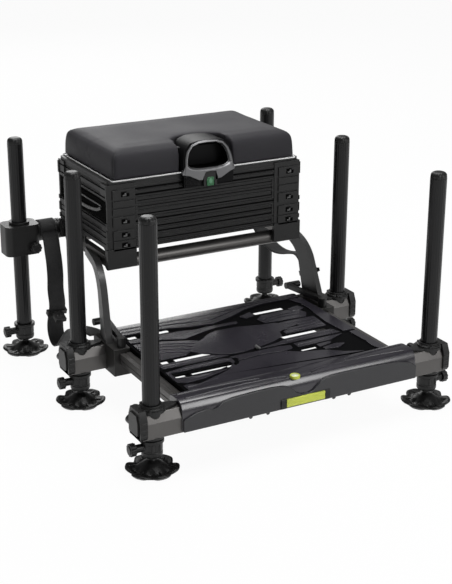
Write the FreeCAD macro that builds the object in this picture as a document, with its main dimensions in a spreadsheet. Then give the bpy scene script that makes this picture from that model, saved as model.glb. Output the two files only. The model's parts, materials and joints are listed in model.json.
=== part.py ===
"""Fishing seat box on six legs, with a sliding footplate, as a parametric document in millimetres.

X runs from left to right, Y from the water to the back, Z up. Pieces are drawn about a point on
the ground in line with the middle legs, and stored about the middle of the six feet.
"""

import FreeCAD
import Part
import Sketcher
import math
import os

Vector = FreeCAD.Vector

SIZES = {
    # Legs: round tubes that stand through the beams
    "leg_radius": 18.0,
    "leg_wall": 2.0,
    "leg_top": 540.0,
    "leg_end": 50.0,
    "leg_room": 68.0,
    "front_reach": 368.0,
    "rear_reach": 346.0,
    "cap_height": 14.0,
    "cap_round": 9.0,
    "cap_plug": 18.0,
    "running_gap": 0.05,
    "seat_gap": 0.3,
    # Knuckle at the foot of each leg and the ball that it holds
    "ball_radius": 13.0,
    "ball_height": 46.0,
    "knuckle_radius": 22.0,
    "knuckle_base": 40.0,
    "knuckle_top": 80.0,
    "knuckle_bevel": 4.0,
    "knuckle_rim": 3.0,
    "knuckle_rim_height": 8.0,
    # Round mud feet
    "foot_base": 8.0,
    "foot_radius": 55.5,
    "foot_floor": 3.0,
    "foot_rim_height": 6.0,
    "foot_rim_width": 5.0,
    "hub_radius": 28.0,
    "hub_top_radius": 14.0,
    "hub_height": 26.0,
    "stem_radius": 7.0,
    "foot_rib": 5.0,
    "foot_notch": 9.0,
    "foot_notch_start": 40.0,
    # Fluted knob on each knuckle and on each rear clamp
    "knob_radius": 13.5,
    "knob_width": 14.0,
    "knob_start": 38.0,
    "knob_height": 62.0,
    "knob_neck": 7.0,
    "knob_flute": 2.6,
    "screw_radius": 4.0,
    "boss_radius": 8.5,
    "boss_end": 37.0,
    # Star knob behind each front and middle leg
    "star_radius": 24.0,
    "star_lobe": 9.0,
    "star_height": 104.0,
    "star_start": 31.0,
    "star_width": 24.0,
    "star_hub": 15.0,
    "star_hub_width": 5.0,
    # Bevelled aluminium beam that carries two legs
    "beam_overhang": 30.0,
    "beam_depth": 50.0,
    "beam_base": 88.0,
    "beam_shoulder": 121.0,
    "beam_top": 140.0,
    "beam_flat": 32.0,
    "beam_wall": 3.0,
    "end_cap": 7.0,
    "end_plug": 12.0,
    # Leg bushes: a sleeve in the beam, with a leaf-shaped flange above and a round one below
    "bush_radius": 21.0,
    "bush_flange": 28.0,
    "bush_plate": 6.0,
    "bush_collar": 24.0,
    "bush_collar_height": 6.0,
    "bush_sleeve": 22.0,
    "leaf_reach": 44.0,
    "leaf_tip": 9.0,
    "leaf_root": 22.0,
    "lower_plate": 5.0,
    # Slide rails of the footplate and the guide blocks on the middle beam
    "rail_outer": 272.0,
    "rail_width": 25.0,
    "rail_base": 111.0,
    "rail_height": 25.0,
    "rail_wall": 2.5,
    "rail_groove": 5.0,
    "rail_groove_depth": 1.2,
    "rail_tail": 62.0,
    "guide_wall": 14.0,
    "guide_front": 70.0,
    "guide_back": 42.0,
    "guide_base": 84.0,
    "guide_top": 146.0,
    "crossbar_base": 87.0,
    "crossbar_height": 20.0,
    # Curved side arms between the guide blocks and the seat frame
    "arm_thickness": 15.0,
    "arm_set": 1.0,
    "arm_front": 30.0,
    "arm_depth": 58.0,
    "arm_toe": 12.0,
    "arm_front_bend": 37.0,
    "arm_front_bend_height": 245.0,
    "arm_front_round": 93.0,
    "arm_crown_start": 131.0,
    "arm_rise": 5.0,
    "arm_back_bend": 76.0,
    "arm_back_bend_height": 229.0,
    "arm_back_round": 71.0,
    "arm_soffit_start": 145.0,
    "arm_drop": 15.0,
    "arm_end": 222.0,
    # Tubular seat frame
    "seat_tube": 16.0,
    "seat_tube_height": 300.0,
    "tube_inset": 24.0,
    "bar_inset": 32.0,
    "side_bar_width": 14.0,
    "side_bar_height": 26.0,
    "rear_beam_radius": 20.0,
    "rear_beam_wall": 2.5,
    "rear_beam_rise": 6.0,
    "rear_beam_stop": 72.0,
    "link_spread": 150.0,
    "link_width": 24.0,
    # Rear leg clamps
    "clamp_half_width": 42.0,
    "clamp_half_depth": 31.0,
    "clamp_drop": 46.0,
    "clamp_rise": 26.0,
    "clamp_round": 16.0,
    "clamp_neck": 24.0,
    "clamp_neck_end": 100.0,
    "clamp_collar": 24.0,
    "clamp_collar_height": 6.0,
    "clamp_screw_side": 25.5,
    "clamp_screw_drop": 29.0,
    "clamp_grooves": 5,
    # Seat box: a stack of trays between proud corner blocks
    "box_front": 36.0,
    "box_back": 315.0,
    "box_wall": 3.5,
    "box_round": 7.0,
    "block_width": 68.0,
    "block_proud": 3.0,
    "skirt_drop": 6.0,
    "base_flare": 3.0,
    "panel_rise": 33.0,
    "base_roof": 3.0,
    "base_thickness": 3.0,
    "lower_height": 20.0,
    "middle_height": 34.0,
    "drawer_height": 59.0,
    "top_height": 34.0,
    "lid_height": 7.5,
    "lid_gap": 0.3,
    "tray_floor": 3.0,
    "lip_depth": 4.0,
    "lip_gap": 0.6,
    "panel_rib": 3.0,
    "panel_rib_proud": 1.4,
    "clip_width": 17.0,
    "clip_height": 13.0,
    "clip_proud": 1.6,
    "clip_inset": 32.5,
    "arch_front": 62.0,
    "arch_length": 114.0,
    "arch_pitch": 122.0,
    # Side drawers
    "drawer_gap": 1.0,
    "drawer_front": 6.0,
    "drawer_wall": 2.5,
    "drawer_middle": 6.0,
    "grip_width": 150.0,
    "grip_height": 18.0,
    # Lid hinge
    "hinge_reach": 4.0,
    "hinge_drop": 3.0,
    "hinge_pin_radius": 3.0,
    "hinge_barrel": 6.0,
    "hinge_half": 165.0,
    "hinge_knuckle": 30.0,
    # Cushion
    "cushion_inset": 13.5,
    "cushion_overhang": 2.0,
    "cushion_back_overhang": 3.0,
    "cushion_corner": 8.0,
    "cushion_height": 67.5,
    "cushion_draw": 3.0,
    # Grab handle and seat release in the middle of the front
    "handle_half": 64.0,
    "handle_drop": 30.0,
    "handle_foot_drop": 2.0,
    "handle_rise": 1.0,
    "brow_reach": 5.0,
    "chin_reach": 21.0,
    "chin_drop": 48.0,
    "heel_reach": 16.0,
    "handle_skin": 4.0,
    "handle_depth": 76.0,
    "handle_shoulder": 24.0,
    "chin_half": 24.0,
    "mouth_half": 56.0,
    "mouth_drop": 70.0,
    "mouth_roof": 6.0,
    "mouth_round": 28.0,
    "mouth_depth": 28.0,
    "button_half": 9.0,
    "button_reach": 20.0,
    "button_rise": 3.0,
    "button_height": 23.0,
    "button_length": 14.0,
    "button_travel": 3.0,
    "button_round": 2.0,
    # Footplate
    "deck_base": 128.0,
    "deck_top": 150.0,
    "deck_skin": 6.0,
    "deck_side": 4.0,
    "deck_gap": 0.5,
    "deck_seam": 219.0,
    "seam_gap": 3.0,
    "deck_rear": 45.0,
    "deck_rib": 5.0,
    "slot_width": 7.0,
    "slot_inset": 36.0,
    "slot_back": 31.0,
    "slot_back_left": 135.0,
    "slot_back_right": 92.0,
    "slot_back_end": 204.0,
    "slot_middle": 194.5,
    "slot_middle_left": 114.0,
    "slot_middle_right": 71.0,
    "slot_middle_end": 190.0,
    "slot_fore": 274.5,
    "slot_fore_left": 104.0,
    "slot_fore_right": 70.0,
    "slot_fore_end": 150.0,
    "nose_room": 2.0,
    "nose_rise": 3.0,
    "nose_skin": 4.0,
    "nose_lip": 90.0,
    "nose_gap": 0.3,
    "grip_bar_half": 47.0,
    "grip_bar_base": 93.0,
    "grip_bar_height": 19.0,
    "grip_bar_depth": 7.0,
    "grip_bracket": 13.0,
    "level_left": 18.0,
    "level_forward": 22.0,
    "level_radius": 11.0,
    "level_height": 5.0,
    # Cam levers on the guide blocks
    "lever_inset": 10.0,
    "lever_pivot_front": 55.0,
    "lever_tip_inset": 30.0,
    "lever_tip_back": 70.0,
    "lever_rise": 11.0,
    "lever_height": 11.0,
    "lever_width": 12.0,
    "lever_boss": 10.0,
    "lever_pin": 5.0,
    "lever_grip_radius": 8.0,
    "lever_grip_length": 38.0,
    # Carrying straps
    "strap_width": 40.0,
    "strap_thickness": 3.0,
    "strap_inset": 45.0,
    "strap_shift": 22.0,
    "buckle_wall": 4.0,
    "buckle_height": 12.0,
    "buckle_tab": 26.0,
    "buckle_gap": 0.4,
    "buckle_hole": 6.0,
}

# Hang of each strap: depth, height and share of its outward shift
LEFT_HANG = [
    (311.0, 292.0, 0.0),
    (290.0, 272.0, 0.25),
    (268.0, 250.0, 0.5),
    (250.0, 222.0, 0.75),
    (238.0, 192.0, 1.0),
    (232.0, 165.0, 1.0),
    (233.0, 148.0, 1.0),
    (243.0, 124.0, 1.0),
    (250.0, 104.0, 1.0),
    (250.0, 84.0, 1.0),
    (241.0, 68.0, 1.0),
    (226.0, 60.0, 1.0),
    (208.0, 62.0, 1.0),
    (188.0, 76.0, 1.0),
    (160.0, 103.0, 1.0),
    (134.0, 126.0, 1.0),
    (110.0, 139.0, 1.0),
    (84.0, 143.0, 0.6),
    (62.0, 143.0, 0.2),
    (43.8, 142.0, 0.0),
]
RIGHT_HANG = [
    (306.0, 288.0, 0.0),
    (286.0, 262.0, 0.2),
    (262.0, 236.0, 0.4),
    (236.0, 219.0, 0.5),
    (208.0, 211.0, 0.6),
    (180.0, 210.0, 0.7),
    (154.0, 214.0, 0.9),
    (130.0, 221.0, 1.1),
    (110.0, 224.0, 1.3),
    (94.0, 214.0, 1.4),
    (82.0, 196.0, 1.4),
    (72.0, 176.0, 1.4),
    (60.0, 158.0, 1.3),
    (43.8, 143.0, 1.2),
]
# Step of each hang at which the buckle sits
LEFT_BUCKLE = 6
RIGHT_BUCKLE = 10

doc = FreeCAD.newDocument("SeatBox")
sheet = doc.addObject("Spreadsheet::Sheet", "Sizes")


class Size(float):
    """A number in millimetres that remembers the spreadsheet formula it came from."""

    def __new__(cls, amount, text=None):
        size = super().__new__(cls, amount)
        size.text = text or repr(float(amount))
        return size

    def __add__(self, other):
        return Size(float(self) + float(other), "(%s + %s)" % (self.text, text_of(other)))

    def __radd__(self, other):
        return Size(float(other) + float(self), "(%s + %s)" % (text_of(other), self.text))

    def __sub__(self, other):
        return Size(float(self) - float(other), "(%s - %s)" % (self.text, text_of(other)))

    def __rsub__(self, other):
        return Size(float(other) - float(self), "(%s - %s)" % (text_of(other), self.text))

    def __mul__(self, other):
        return Size(float(self) * float(other), "(%s * %s)" % (self.text, text_of(other)))

    __rmul__ = __mul__

    def __truediv__(self, other):
        return Size(float(self) / float(other), "(%s / %s)" % (self.text, text_of(other)))

    def __neg__(self):
        return Size(-float(self), "(0 - %s)" % self.text)


def text_of(amount):
    return getattr(amount, "text", repr(float(amount)))


class SheetSizes:
    """Every size of the sheet under its alias, with the places that follow from them."""

    def add_widths(self):
        """Distances from the middle plane; the slide rails set the width of the whole."""
        self.leg_spread = self.rail_outer + self.leg_room
        self.beam_half = self.leg_spread + self.beam_overhang
        self.guide_outer = self.rail_outer + self.guide_wall
        self.nose_half = self.leg_spread - self.leaf_reach - self.leaf_tip - self.nose_room
        self.arm_inner = self.rail_outer - self.arm_set
        self.side_bar_outer = self.rail_outer - self.bar_inset
        self.rear_beam_half = self.leg_spread - self.rear_beam_stop
        self.box_half = self.side_bar_outer + self.box_wall + self.block_proud
        self.clip_spread = self.box_half - self.clip_inset
        self.cushion_half = self.box_half - self.cushion_inset
        self.slot_outer = self.rail_outer - self.slot_inset
        self.lever_pivot_side = self.rail_outer - self.lever_inset
        self.lever_tip_side = self.rail_outer - self.lever_tip_inset
        self.strap_side = self.leg_spread - self.strap_inset

    def add_depths(self):
        """Places from front to back; the box sets those of the seat."""
        self.front_tube = self.box_front + self.tube_inset
        self.rear_tube = self.box_back - self.tube_inset
        self.hinge_back = self.box_back + self.hinge_reach
        self.cushion_front = self.box_front - self.cushion_overhang
        self.cushion_back = self.box_back + self.cushion_back_overhang
        self.handle_brow = self.box_front - self.brow_reach
        self.handle_chin = self.box_front - self.chin_reach
        self.handle_heel = self.box_front - self.heel_reach
        self.handle_back = self.box_front + self.handle_depth
        self.mouth_back = self.box_front + self.mouth_depth
        self.button_front = self.box_front - self.button_reach
        self.level_front = self.front_reach + self.level_forward

    def add_heights(self):
        """Heights of the seat, stacked on the tubes of the seat frame, and of the footplate."""
        self.arm_crown = self.seat_tube_height + self.arm_rise
        self.arm_soffit = self.seat_tube_height - self.arm_drop
        self.rear_beam_height = self.seat_tube_height + self.rear_beam_rise
        self.clamp_base = self.rear_beam_height - self.clamp_drop
        self.clamp_top = self.rear_beam_height + self.clamp_rise
        self.clamp_screw_height = self.rear_beam_height - self.clamp_screw_drop
        self.box_base = self.seat_tube_height - self.skirt_drop
        self.panel_base = self.seat_tube_height + self.panel_rise
        self.base_plate = self.panel_base + self.base_roof
        self.lower_base = self.base_plate + self.base_thickness
        self.middle_base = self.lower_base + self.lower_height
        self.drawer_base = self.middle_base + self.middle_height
        self.top_base = self.drawer_base + self.drawer_height
        self.lid_base = self.top_base + self.top_height
        self.cushion_base = self.lid_base + self.lid_height
        self.cushion_top = self.cushion_base + self.cushion_height
        self.hinge_height = self.lid_base - self.hinge_drop
        self.handle_base = self.lid_base - self.handle_drop
        self.handle_foot = self.lid_base - self.handle_foot_drop
        self.handle_heel_height = self.handle_foot
        self.handle_top = self.cushion_top + self.handle_rise
        self.handle_chin_height = self.handle_top - self.chin_drop
        self.mouth_low = self.handle_top - self.mouth_drop
        self.mouth_high = self.handle_top - self.mouth_roof
        self.button_low = self.handle_base + self.button_rise
        self.button_high = self.button_low + self.button_height
        self.nose_top = self.deck_top + self.nose_rise
        self.lever_base = self.guide_top + self.lever_rise


def fill_sheet():
    for row, (alias, amount) in enumerate(SIZES.items(), start=1):
        sheet.set("A%d" % row, alias)
        sheet.set("B%d" % row, str(amount))
        sheet.setAlias("B%d" % row, alias)
    doc.recompute()
    sizes = SheetSizes()
    for alias in SIZES:
        setattr(sizes, alias, Size(sheet.get(alias), "Sizes." + alias))
    sizes.add_widths()
    sizes.add_depths()
    sizes.add_heights()
    return sizes


S = fill_sheet()
NODES = []


def bind(item, name, amount):
    if isinstance(amount, Size):
        item.setExpression(name, amount.text)
    else:
        setattr(item, name, amount)


def place(item, x, y, z, turn=None):
    item.Placement = FreeCAD.Placement(Vector(x, y, z), turn or FreeCAD.Rotation())
    for name, amount in zip("xyz", (x, y, z)):
        if isinstance(amount, Size):
            item.setExpression("Placement.Base." + name, amount.text)


def about(axis, angle):
    return FreeCAD.Rotation(Vector(*{"x": (1, 0, 0), "y": (0, 1, 0), "z": (0, 0, 1)}[axis]), angle)


def node(item, name):
    """A named piece, set back so that the origin lies under the middle of the whole."""
    piece = doc.addObject("Part::Compound", "Piece")
    piece.Links = [item]
    piece.Label = name
    place(piece, 0, (S.front_reach - S.rear_reach) / 2, -S.foot_base)
    NODES.append(piece)


def block(x, y, z):
    """Box between pairs of limits."""
    item = doc.addObject("Part::Box", "Block")
    bind(item, "Length", x[1] - x[0])
    bind(item, "Width", y[1] - y[0])
    bind(item, "Height", z[1] - z[0])
    place(item, x[0], y[0], z[0])
    return item


def rod(axis, radius, span, centre, end_radius=None):
    """Cylinder, or cone where its end has another radius, along an axis between two limits."""
    if end_radius is None:
        item = doc.addObject("Part::Cylinder", "Rod")
        bind(item, "Radius", radius)
    else:
        item = doc.addObject("Part::Cone", "Taper")
        bind(item, "Radius1", radius)
        bind(item, "Radius2", end_radius)
    bind(item, "Height", span[1] - span[0])
    if axis == "x":
        place(item, span[0], centre[0], centre[1], about("y", 90))
    elif axis == "y":
        place(item, centre[0], span[0], centre[1], about("x", -90))
    else:
        place(item, centre[0], centre[1], span[0])
    return item


def ball(radius, x, y, z):
    item = doc.addObject("Part::Sphere", "Ball")
    bind(item, "Radius", radius)
    place(item, x, y, z)
    return item


def spoke(angle, start, end, width, z):
    """Radial bar about the vertical axis."""
    item = doc.addObject("Part::Box", "Spoke")
    bind(item, "Length", end - start)
    bind(item, "Width", width)
    bind(item, "Height", z[1] - z[0])
    cosine = math.cos(math.radians(angle))
    sine = math.sin(math.radians(angle))
    x = start * cosine + width * (sine / 2)
    y = start * sine - width * (cosine / 2)
    place(item, x, y, z[0], about("z", angle))
    return item


def fused(*items):
    item = doc.addObject("Part::MultiFuse", "Joined")
    item.Shapes = list(items)
    item.Refine = True
    return item


def cut(base, *tools):
    item = doc.addObject("Part::Cut", "Trimmed")
    item.Base = base
    item.Tool = tools[0] if len(tools) == 1 else fused(*tools)
    item.Refine = True
    return item


def group(*items):
    item = doc.addObject("Part::Compound", "Group")
    item.Links = list(items)
    return item


def copied(item, x, y):
    """The same piece again, at another place."""
    again = group(item)
    place(again, x, y, 0)
    return again


def mirrored(item, normal=(1, 0, 0)):
    again = doc.addObject("Part::Mirroring", "Mirrored")
    again.Source = item
    again.Normal = Vector(*normal)
    return again


def both(item):
    """A right-hand piece with its mirror image on the left."""
    return group(item, mirrored(item))


def origin_plane(body, name):
    for feature in body.Origin.OriginFeatures:
        if feature.Role == name:
            return feature
    raise ValueError(name)


def sketched(body, plane, points, offset):
    """Closed outline of straight sides, or of arcs where a point carries a radius and a middle."""
    sketch = body.newObject("Sketcher::SketchObject", "Outline")
    sketch.AttachmentSupport = [(origin_plane(body, plane + "_Plane"), "")]
    sketch.MapMode = "FlatFace"
    sketch.AttachmentOffset = FreeCAD.Placement(Vector(0, 0, offset), FreeCAD.Rotation())
    if isinstance(offset, Size):
        sketch.setExpression("AttachmentOffset.Base.z", offset.text)
    count = len(points)
    for i in range(count):
        start = Vector(points[i][0], points[i][1], 0)
        end = Vector(points[(i + 1) % count][0], points[(i + 1) % count][1], 0)
        if len(points[i]) == 4:
            sketch.addGeometry(arc_between(start, end, points[i][2], points[i][3]), False)
        else:
            sketch.addGeometry(Part.LineSegment(start, end), False)
    ends = [edge_ends(sketch, i, points) for i in range(count)]
    for i in range(count):
        following = (i + 1) % count
        sketch.addConstraint(
            Sketcher.Constraint("Coincident", i, ends[i][1], following, ends[following][0])
        )
    for i in range(count):
        for kind, amount in (("DistanceX", points[i][0]), ("DistanceY", points[i][1])):
            index = sketch.addConstraint(
                Sketcher.Constraint(kind, -1, 1, i, ends[i][0], float(amount))
            )
            if isinstance(amount, Size):
                sketch.setExpression("Constraints[%d]" % index, amount.text)
        if len(points[i]) == 4:
            index = sketch.addConstraint(
                Sketcher.Constraint("Radius", i, float(points[i][2]))
            )
            if isinstance(points[i][2], Size):
                sketch.setExpression("Constraints[%d]" % index, points[i][2].text)
    return sketch


def arc_between(start, end, radius, bulge):
    """Minor arc from start to end that bulges to the left, or to the right where bulge is -1."""
    chord = end - start
    half = chord.Length / 2
    rise = radius - math.sqrt(max(radius * radius - half * half, 0.0))
    side = Vector(-chord.y, chord.x, 0).normalize() * (rise * bulge)
    return Part.Arc(start, start + chord * 0.5 + side, end)


def edge_ends(sketch, index, points):
    """Which ends of a sketch edge are its first and its last point."""
    start = Vector(points[index][0], points[index][1], 0)
    if (sketch.getPoint(index, 1) - start).Length < 1e-4:
        return 1, 2
    return 2, 1


def prism(plane, points, low, high):
    """Outline on an origin plane, padded between two limits along that plane's row axis."""
    body = doc.addObject("PartDesign::Body", "Body")
    offset = -high if plane == "XZ" else low
    sketch = sketched(body, plane, points, offset)
    pad = body.newObject("PartDesign::Pad", "Pad")
    pad.Profile = sketch
    bind(pad, "Length", high - low)
    body.Tip = pad
    return body


def turned(points):
    """Outline of radius and height, revolved about the vertical axis."""
    body = doc.addObject("PartDesign::Body", "Turned")
    sketch = sketched(body, "XZ", points, 0)
    revolution = body.newObject("PartDesign::Revolution", "Revolution")
    revolution.Profile = sketch
    revolution.ReferenceAxis = (sketch, ["V_Axis"])
    revolution.Angle = 360
    body.Tip = revolution
    return body


def eased(body, radius, chosen):
    """Round every edge of a body that the test picks."""
    doc.recompute()
    base = body.Tip
    names = ["Edge%d" % i for i, edge in enumerate(base.Shape.Edges, start=1) if chosen(edge)]
    fillet = body.newObject("PartDesign::Fillet", "Fillet")
    fillet.Base = (base, names)
    bind(fillet, "Radius", radius)
    body.Tip = fillet
    return body


def upright(edge):
    low, high = edge.BoundBox.ZMin, edge.BoundBox.ZMax
    flat = max(edge.BoundBox.XLength, edge.BoundBox.YLength) < 1e-4
    return flat and high - low > 1e-3


def slab(x, y, z, radius):
    """Plate with rounded upright corners."""
    corners = [(x[0], y[0]), (x[1], y[0]), (x[1], y[1]), (x[0], y[1])]
    return eased(prism("XY", corners, z[0], z[1]), radius, upright)


SIDES = {"left": -1, "right": 1}
ROWS = {"front": -S.front_reach, "mid": Size(0.0), "rear": S.rear_reach}
LEGS = [(row, side) for row in ROWS for side in SIDES]


def sided(master):
    """A right-hand piece and its mirror image, by side."""
    return {"right": master, "left": mirrored(master)}


def on_leg(pair, row, side):
    """A copy of a leg piece at one of the six legs."""
    return copied(pair[side], S.leg_spread * SIDES[side], ROWS[row])


# Leg: an aluminium tube with a domed cap pressed into its top
def leg_tube():
    rim = S.leg_top - S.cap_height
    tube = cut(
        rod("z", S.leg_radius, (S.leg_end, rim), (0, 0)),
        rod("z", S.leg_radius - S.leg_wall, (S.leg_end, rim), (0, 0)),
    )
    plug = S.leg_radius - S.leg_wall - S.running_gap
    cap = turned(
        [
            (0, rim - S.cap_plug),
            (plug, rim - S.cap_plug),
            (plug, rim),
            (S.leg_radius, rim),
            (S.leg_radius, S.leg_top),
            (0, S.leg_top),
        ]
    )
    crown = float(S.leg_top)
    eased(cap, S.cap_round, lambda edge: edge.BoundBox.ZMin > crown - 1e-3 and edge.Closed)
    return group(tube, cap)


# Knuckle: holds the tube's lower end above and the foot's ball below
def leg_knuckle():
    rim = S.knuckle_radius + S.knuckle_rim
    shell = turned(
        [
            (0, S.knuckle_base),
            (S.knuckle_radius - S.knuckle_bevel, S.knuckle_base),
            (S.knuckle_radius, S.knuckle_base + S.knuckle_bevel),
            (S.knuckle_radius, S.knuckle_top - S.knuckle_rim_height),
            (rim, S.knuckle_top - S.knuckle_rim_height),
            (rim, S.knuckle_top),
            (0, S.knuckle_top),
        ]
    )
    boss = rod("x", S.boss_radius, (0, S.boss_end), (0, S.knob_height))
    return cut(
        fused(shell, boss),
        rod("z", S.leg_radius + S.running_gap, (S.leg_end, S.knuckle_top), (0, 0)),
        ball(S.ball_radius + S.seat_gap, 0, 0, S.ball_height),
        rod("x", S.screw_radius + S.running_gap, (0, S.boss_end), (0, S.knob_height)),
    )


# Foot: a dished disc with a raised rim, ribs, notches for mud and a ball on a stem
def foot():
    base = S.foot_base
    floor = base + S.foot_floor
    rim = base + S.foot_rim_height
    disc = cut(
        rod("z", S.foot_radius, (base, rim), (0, 0)),
        rod("z", S.foot_radius - S.foot_rim_width, (floor, rim), (0, 0)),
    )
    hub = rod("z", S.hub_radius, (base, S.hub_height), (0, 0), S.hub_top_radius)
    stem = rod("z", S.stem_radius, (base, S.ball_height), (0, 0))
    inner = S.foot_radius - S.foot_rim_width / 2
    ribs = [spoke(60 * i, S.stem_radius, inner, S.foot_rib, (base, rim)) for i in range(6)]
    notches = []
    span = (base - 1, rim + 1)
    for angle in (90, 210, 330):
        x = S.foot_notch_start * math.cos(math.radians(angle))
        y = S.foot_notch_start * math.sin(math.radians(angle))
        notches.append(rod("z", S.foot_notch, span, (x, y)))
        end = S.foot_radius + S.foot_rim_width
        notches.append(spoke(angle, S.foot_notch_start, end, S.foot_notch * 2, span))
    plate = cut(fused(disc, *ribs), *notches)
    return fused(plate, hub, stem, ball(S.ball_radius, 0, 0, S.ball_height))


def flutes(axis, span, centre, count, ring, radius):
    """Rods round a knob's edge."""
    rods = []
    for i in range(count):
        angle = 2 * math.pi * i / count
        u = ring * math.cos(angle)
        v = ring * math.sin(angle)
        rods.append(rod(axis, radius, span, (centre[0] + u, centre[1] + v)))
    return rods


def fluted_knob(axis, start, centre, screw_start):
    end = start + S.knob_width
    wheel = cut(
        rod(axis, S.knob_radius, (start, end), centre),
        *flutes(axis, (start - 1, end + 1), centre, 10, S.knob_radius + 1, S.knob_flute),
    )
    neck = rod(axis, S.knob_neck, (S.boss_end + S.seat_gap, start), centre)
    screw = rod(axis, S.screw_radius, (screw_start, start), centre)
    return fused(wheel, neck, screw)


# Knob that locks the ball of a foot
def foot_knob():
    return fluted_knob("x", S.knob_start, (0, S.knob_height), S.leg_radius + 1)


# Star knob that clamps a front or middle leg in its beam, seen from behind
def star_knob():
    end = S.star_start + S.star_width
    centre = (0, S.star_height)
    wheel = fused(
        rod("y", S.star_radius, (S.star_start, end), centre),
        *flutes("y", (S.star_start, end), centre, 6, S.star_radius, S.star_lobe),
    )
    hub = rod("y", S.star_hub, (end, end + S.star_hub_width), centre)
    inner = S.beam_depth / 2 - S.beam_wall + S.seat_gap
    screw = rod("y", S.screw_radius, (inner, S.star_start), centre)
    return fused(wheel, hub, screw)


# Knob that pinches a rear clamp; it faces the water
def rear_knob():
    end = -S.clamp_half_depth - S.seat_gap
    side = -S.clamp_screw_side
    centre = (side, S.clamp_screw_height)
    start = end - S.knob_width
    wheel = cut(
        rod("y", S.knob_radius, (start, end), centre),
        *flutes("y", (start - 1, end + 1), centre, 10, S.knob_radius + 1, S.knob_flute),
    )
    screw = rod("y", S.screw_radius, (end, S.clamp_half_depth / 2), centre)
    return fused(wheel, screw)


def beam_outline(inset):
    """Section of the beam, seen along its length, drawn in all round by an inset."""
    half = S.beam_depth / 2 - inset
    flat = S.beam_flat / 2 - inset / 2
    return [
        (-half, S.beam_base + inset),
        (half, S.beam_base + inset),
        (half, S.beam_shoulder - inset / 2),
        (flat, S.beam_top - inset),
        (-flat, S.beam_top - inset),
        (-half, S.beam_shoulder - inset / 2),
    ]


def hollow_beam(low, high):
    return cut(
        prism("YZ", beam_outline(Size(0.0)), low, high),
        prism("YZ", beam_outline(S.beam_wall), low, high),
    )


def leg_hole(side):
    hole = S.bush_radius + S.running_gap
    span = (S.beam_base - 1, S.beam_top + 1)
    return rod("z", hole, span, (S.leg_spread * side, 0))


def screw_hole(side):
    span = (S.beam_depth / 2 - S.beam_wall - 1, S.beam_depth / 2 + 1)
    centre = (S.leg_spread * side, S.star_height)
    return rod("y", S.screw_radius + S.running_gap, span, centre)


def front_beam():
    beam = cut(
        hollow_beam(-S.beam_half, S.beam_half),
        leg_hole(1),
        leg_hole(-1),
        screw_hole(1),
        screw_hole(-1),
    )
    return copied(beam, 0, ROWS["front"])


# Middle beam: a stub outside each guide block and a low cross bar between the blocks
def mid_beam():
    stubs = []
    for side in (1, -1):
        near, far = S.guide_outer * side, S.beam_half * side
        low, high = (near, far) if side == 1 else (far, near)
        stubs.append(cut(hollow_beam(low, high), leg_hole(side), screw_hole(side)))
    half = S.rail_outer - S.rail_width - S.seat_gap
    depth = S.beam_depth / 2
    top = S.crossbar_base + S.crossbar_height
    wall = S.beam_wall
    bar = cut(
        block((-half, half), (-depth, depth), (S.crossbar_base, top)),
        block(
            (-half, half),
            (wall - depth, depth - wall),
            (S.crossbar_base + wall, top - wall),
        ),
    )
    return group(stubs[0], stubs[1], bar)


# Bushes and end cap at one end of a beam, about the leg's axis
def beam_fittings():
    bore = rod("z", S.leg_radius + S.running_gap, (0, S.leg_top), (0, 0))
    plate_top = S.beam_top + S.bush_plate
    half_root = S.leaf_root
    leaf = prism(
        "XY",
        [
            (0, -half_root),
            (0, half_root),
            (-S.leaf_reach, S.leaf_tip),
            (-S.leaf_reach, -S.leaf_tip),
        ],
        S.beam_top,
        plate_top,
    )
    upper = cut(
        fused(
            rod("z", S.bush_flange, (S.beam_top, plate_top), (0, 0)),
            leaf,
            rod("z", S.leaf_tip, (S.beam_top, plate_top), (-S.leaf_reach, 0)),
            rod("z", S.bush_collar, (plate_top, plate_top + S.bush_collar_height), (0, 0)),
            rod("z", S.bush_radius, (S.beam_top - S.bush_sleeve, S.beam_top), (0, 0)),
        ),
        bore,
    )
    lower = cut(
        fused(
            rod("z", S.bush_flange - 2, (S.beam_base - S.lower_plate, S.beam_base), (0, 0)),
            rod("z", S.bush_radius, (S.beam_base, S.beam_base + S.bush_sleeve), (0, 0)),
        ),
        bore,
    )
    end = S.beam_half - S.leg_spread
    clearance = S.beam_wall + S.running_gap
    plug_start = end - S.end_plug / 2
    cap = fused(
        prism("YZ", beam_outline(Size(1.0)), end, end + S.end_cap),
        prism("YZ", beam_outline(clearance), plug_start, end),
    )
    return upper, lower, cap


# Slide rail on each side of the footplate, grooved outside and on top
def side_rail():
    inner = S.rail_outer - S.rail_width
    start = S.beam_depth / 2 - S.front_reach
    top = S.rail_base + S.rail_height
    wall = S.rail_wall
    span = (start, S.rail_tail)
    middle = S.rail_base + S.rail_height / 2
    half = S.rail_groove / 2
    lane = S.rail_outer - S.rail_width / 2
    return cut(
        block((inner, S.rail_outer), span, (S.rail_base, top)),
        block((inner + wall, S.rail_outer - wall), span, (S.rail_base + wall, top - wall)),
        block(
            (S.rail_outer - S.rail_groove_depth, S.rail_outer + 1),
            span,
            (middle - half, middle + half),
        ),
        block((lane - half, lane + half), span, (top - S.rail_groove_depth, top + 1)),
    )


# Guide block: carries the beam stub outside, the cross bar inside and the arm on top
def rail_guide():
    inner = S.rail_outer - S.rail_width + S.deck_gap
    span = (-S.guide_front, S.guide_back)
    gap = S.seat_gap
    body = cut(
        block((inner, S.guide_outer), span, (S.guide_base, S.guide_top)),
        block(
            (inner - 1, S.rail_outer + gap),
            (-S.guide_front - 1, S.guide_back + 1),
            (S.rail_base - gap, S.rail_base + S.rail_height + gap),
        ),
    )
    pivot = (S.lever_pivot_side, -S.lever_pivot_front)
    pin = rod("z", S.lever_pin, (S.guide_top, S.lever_base + S.lever_height), pivot)
    return fused(body, pin)


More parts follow.
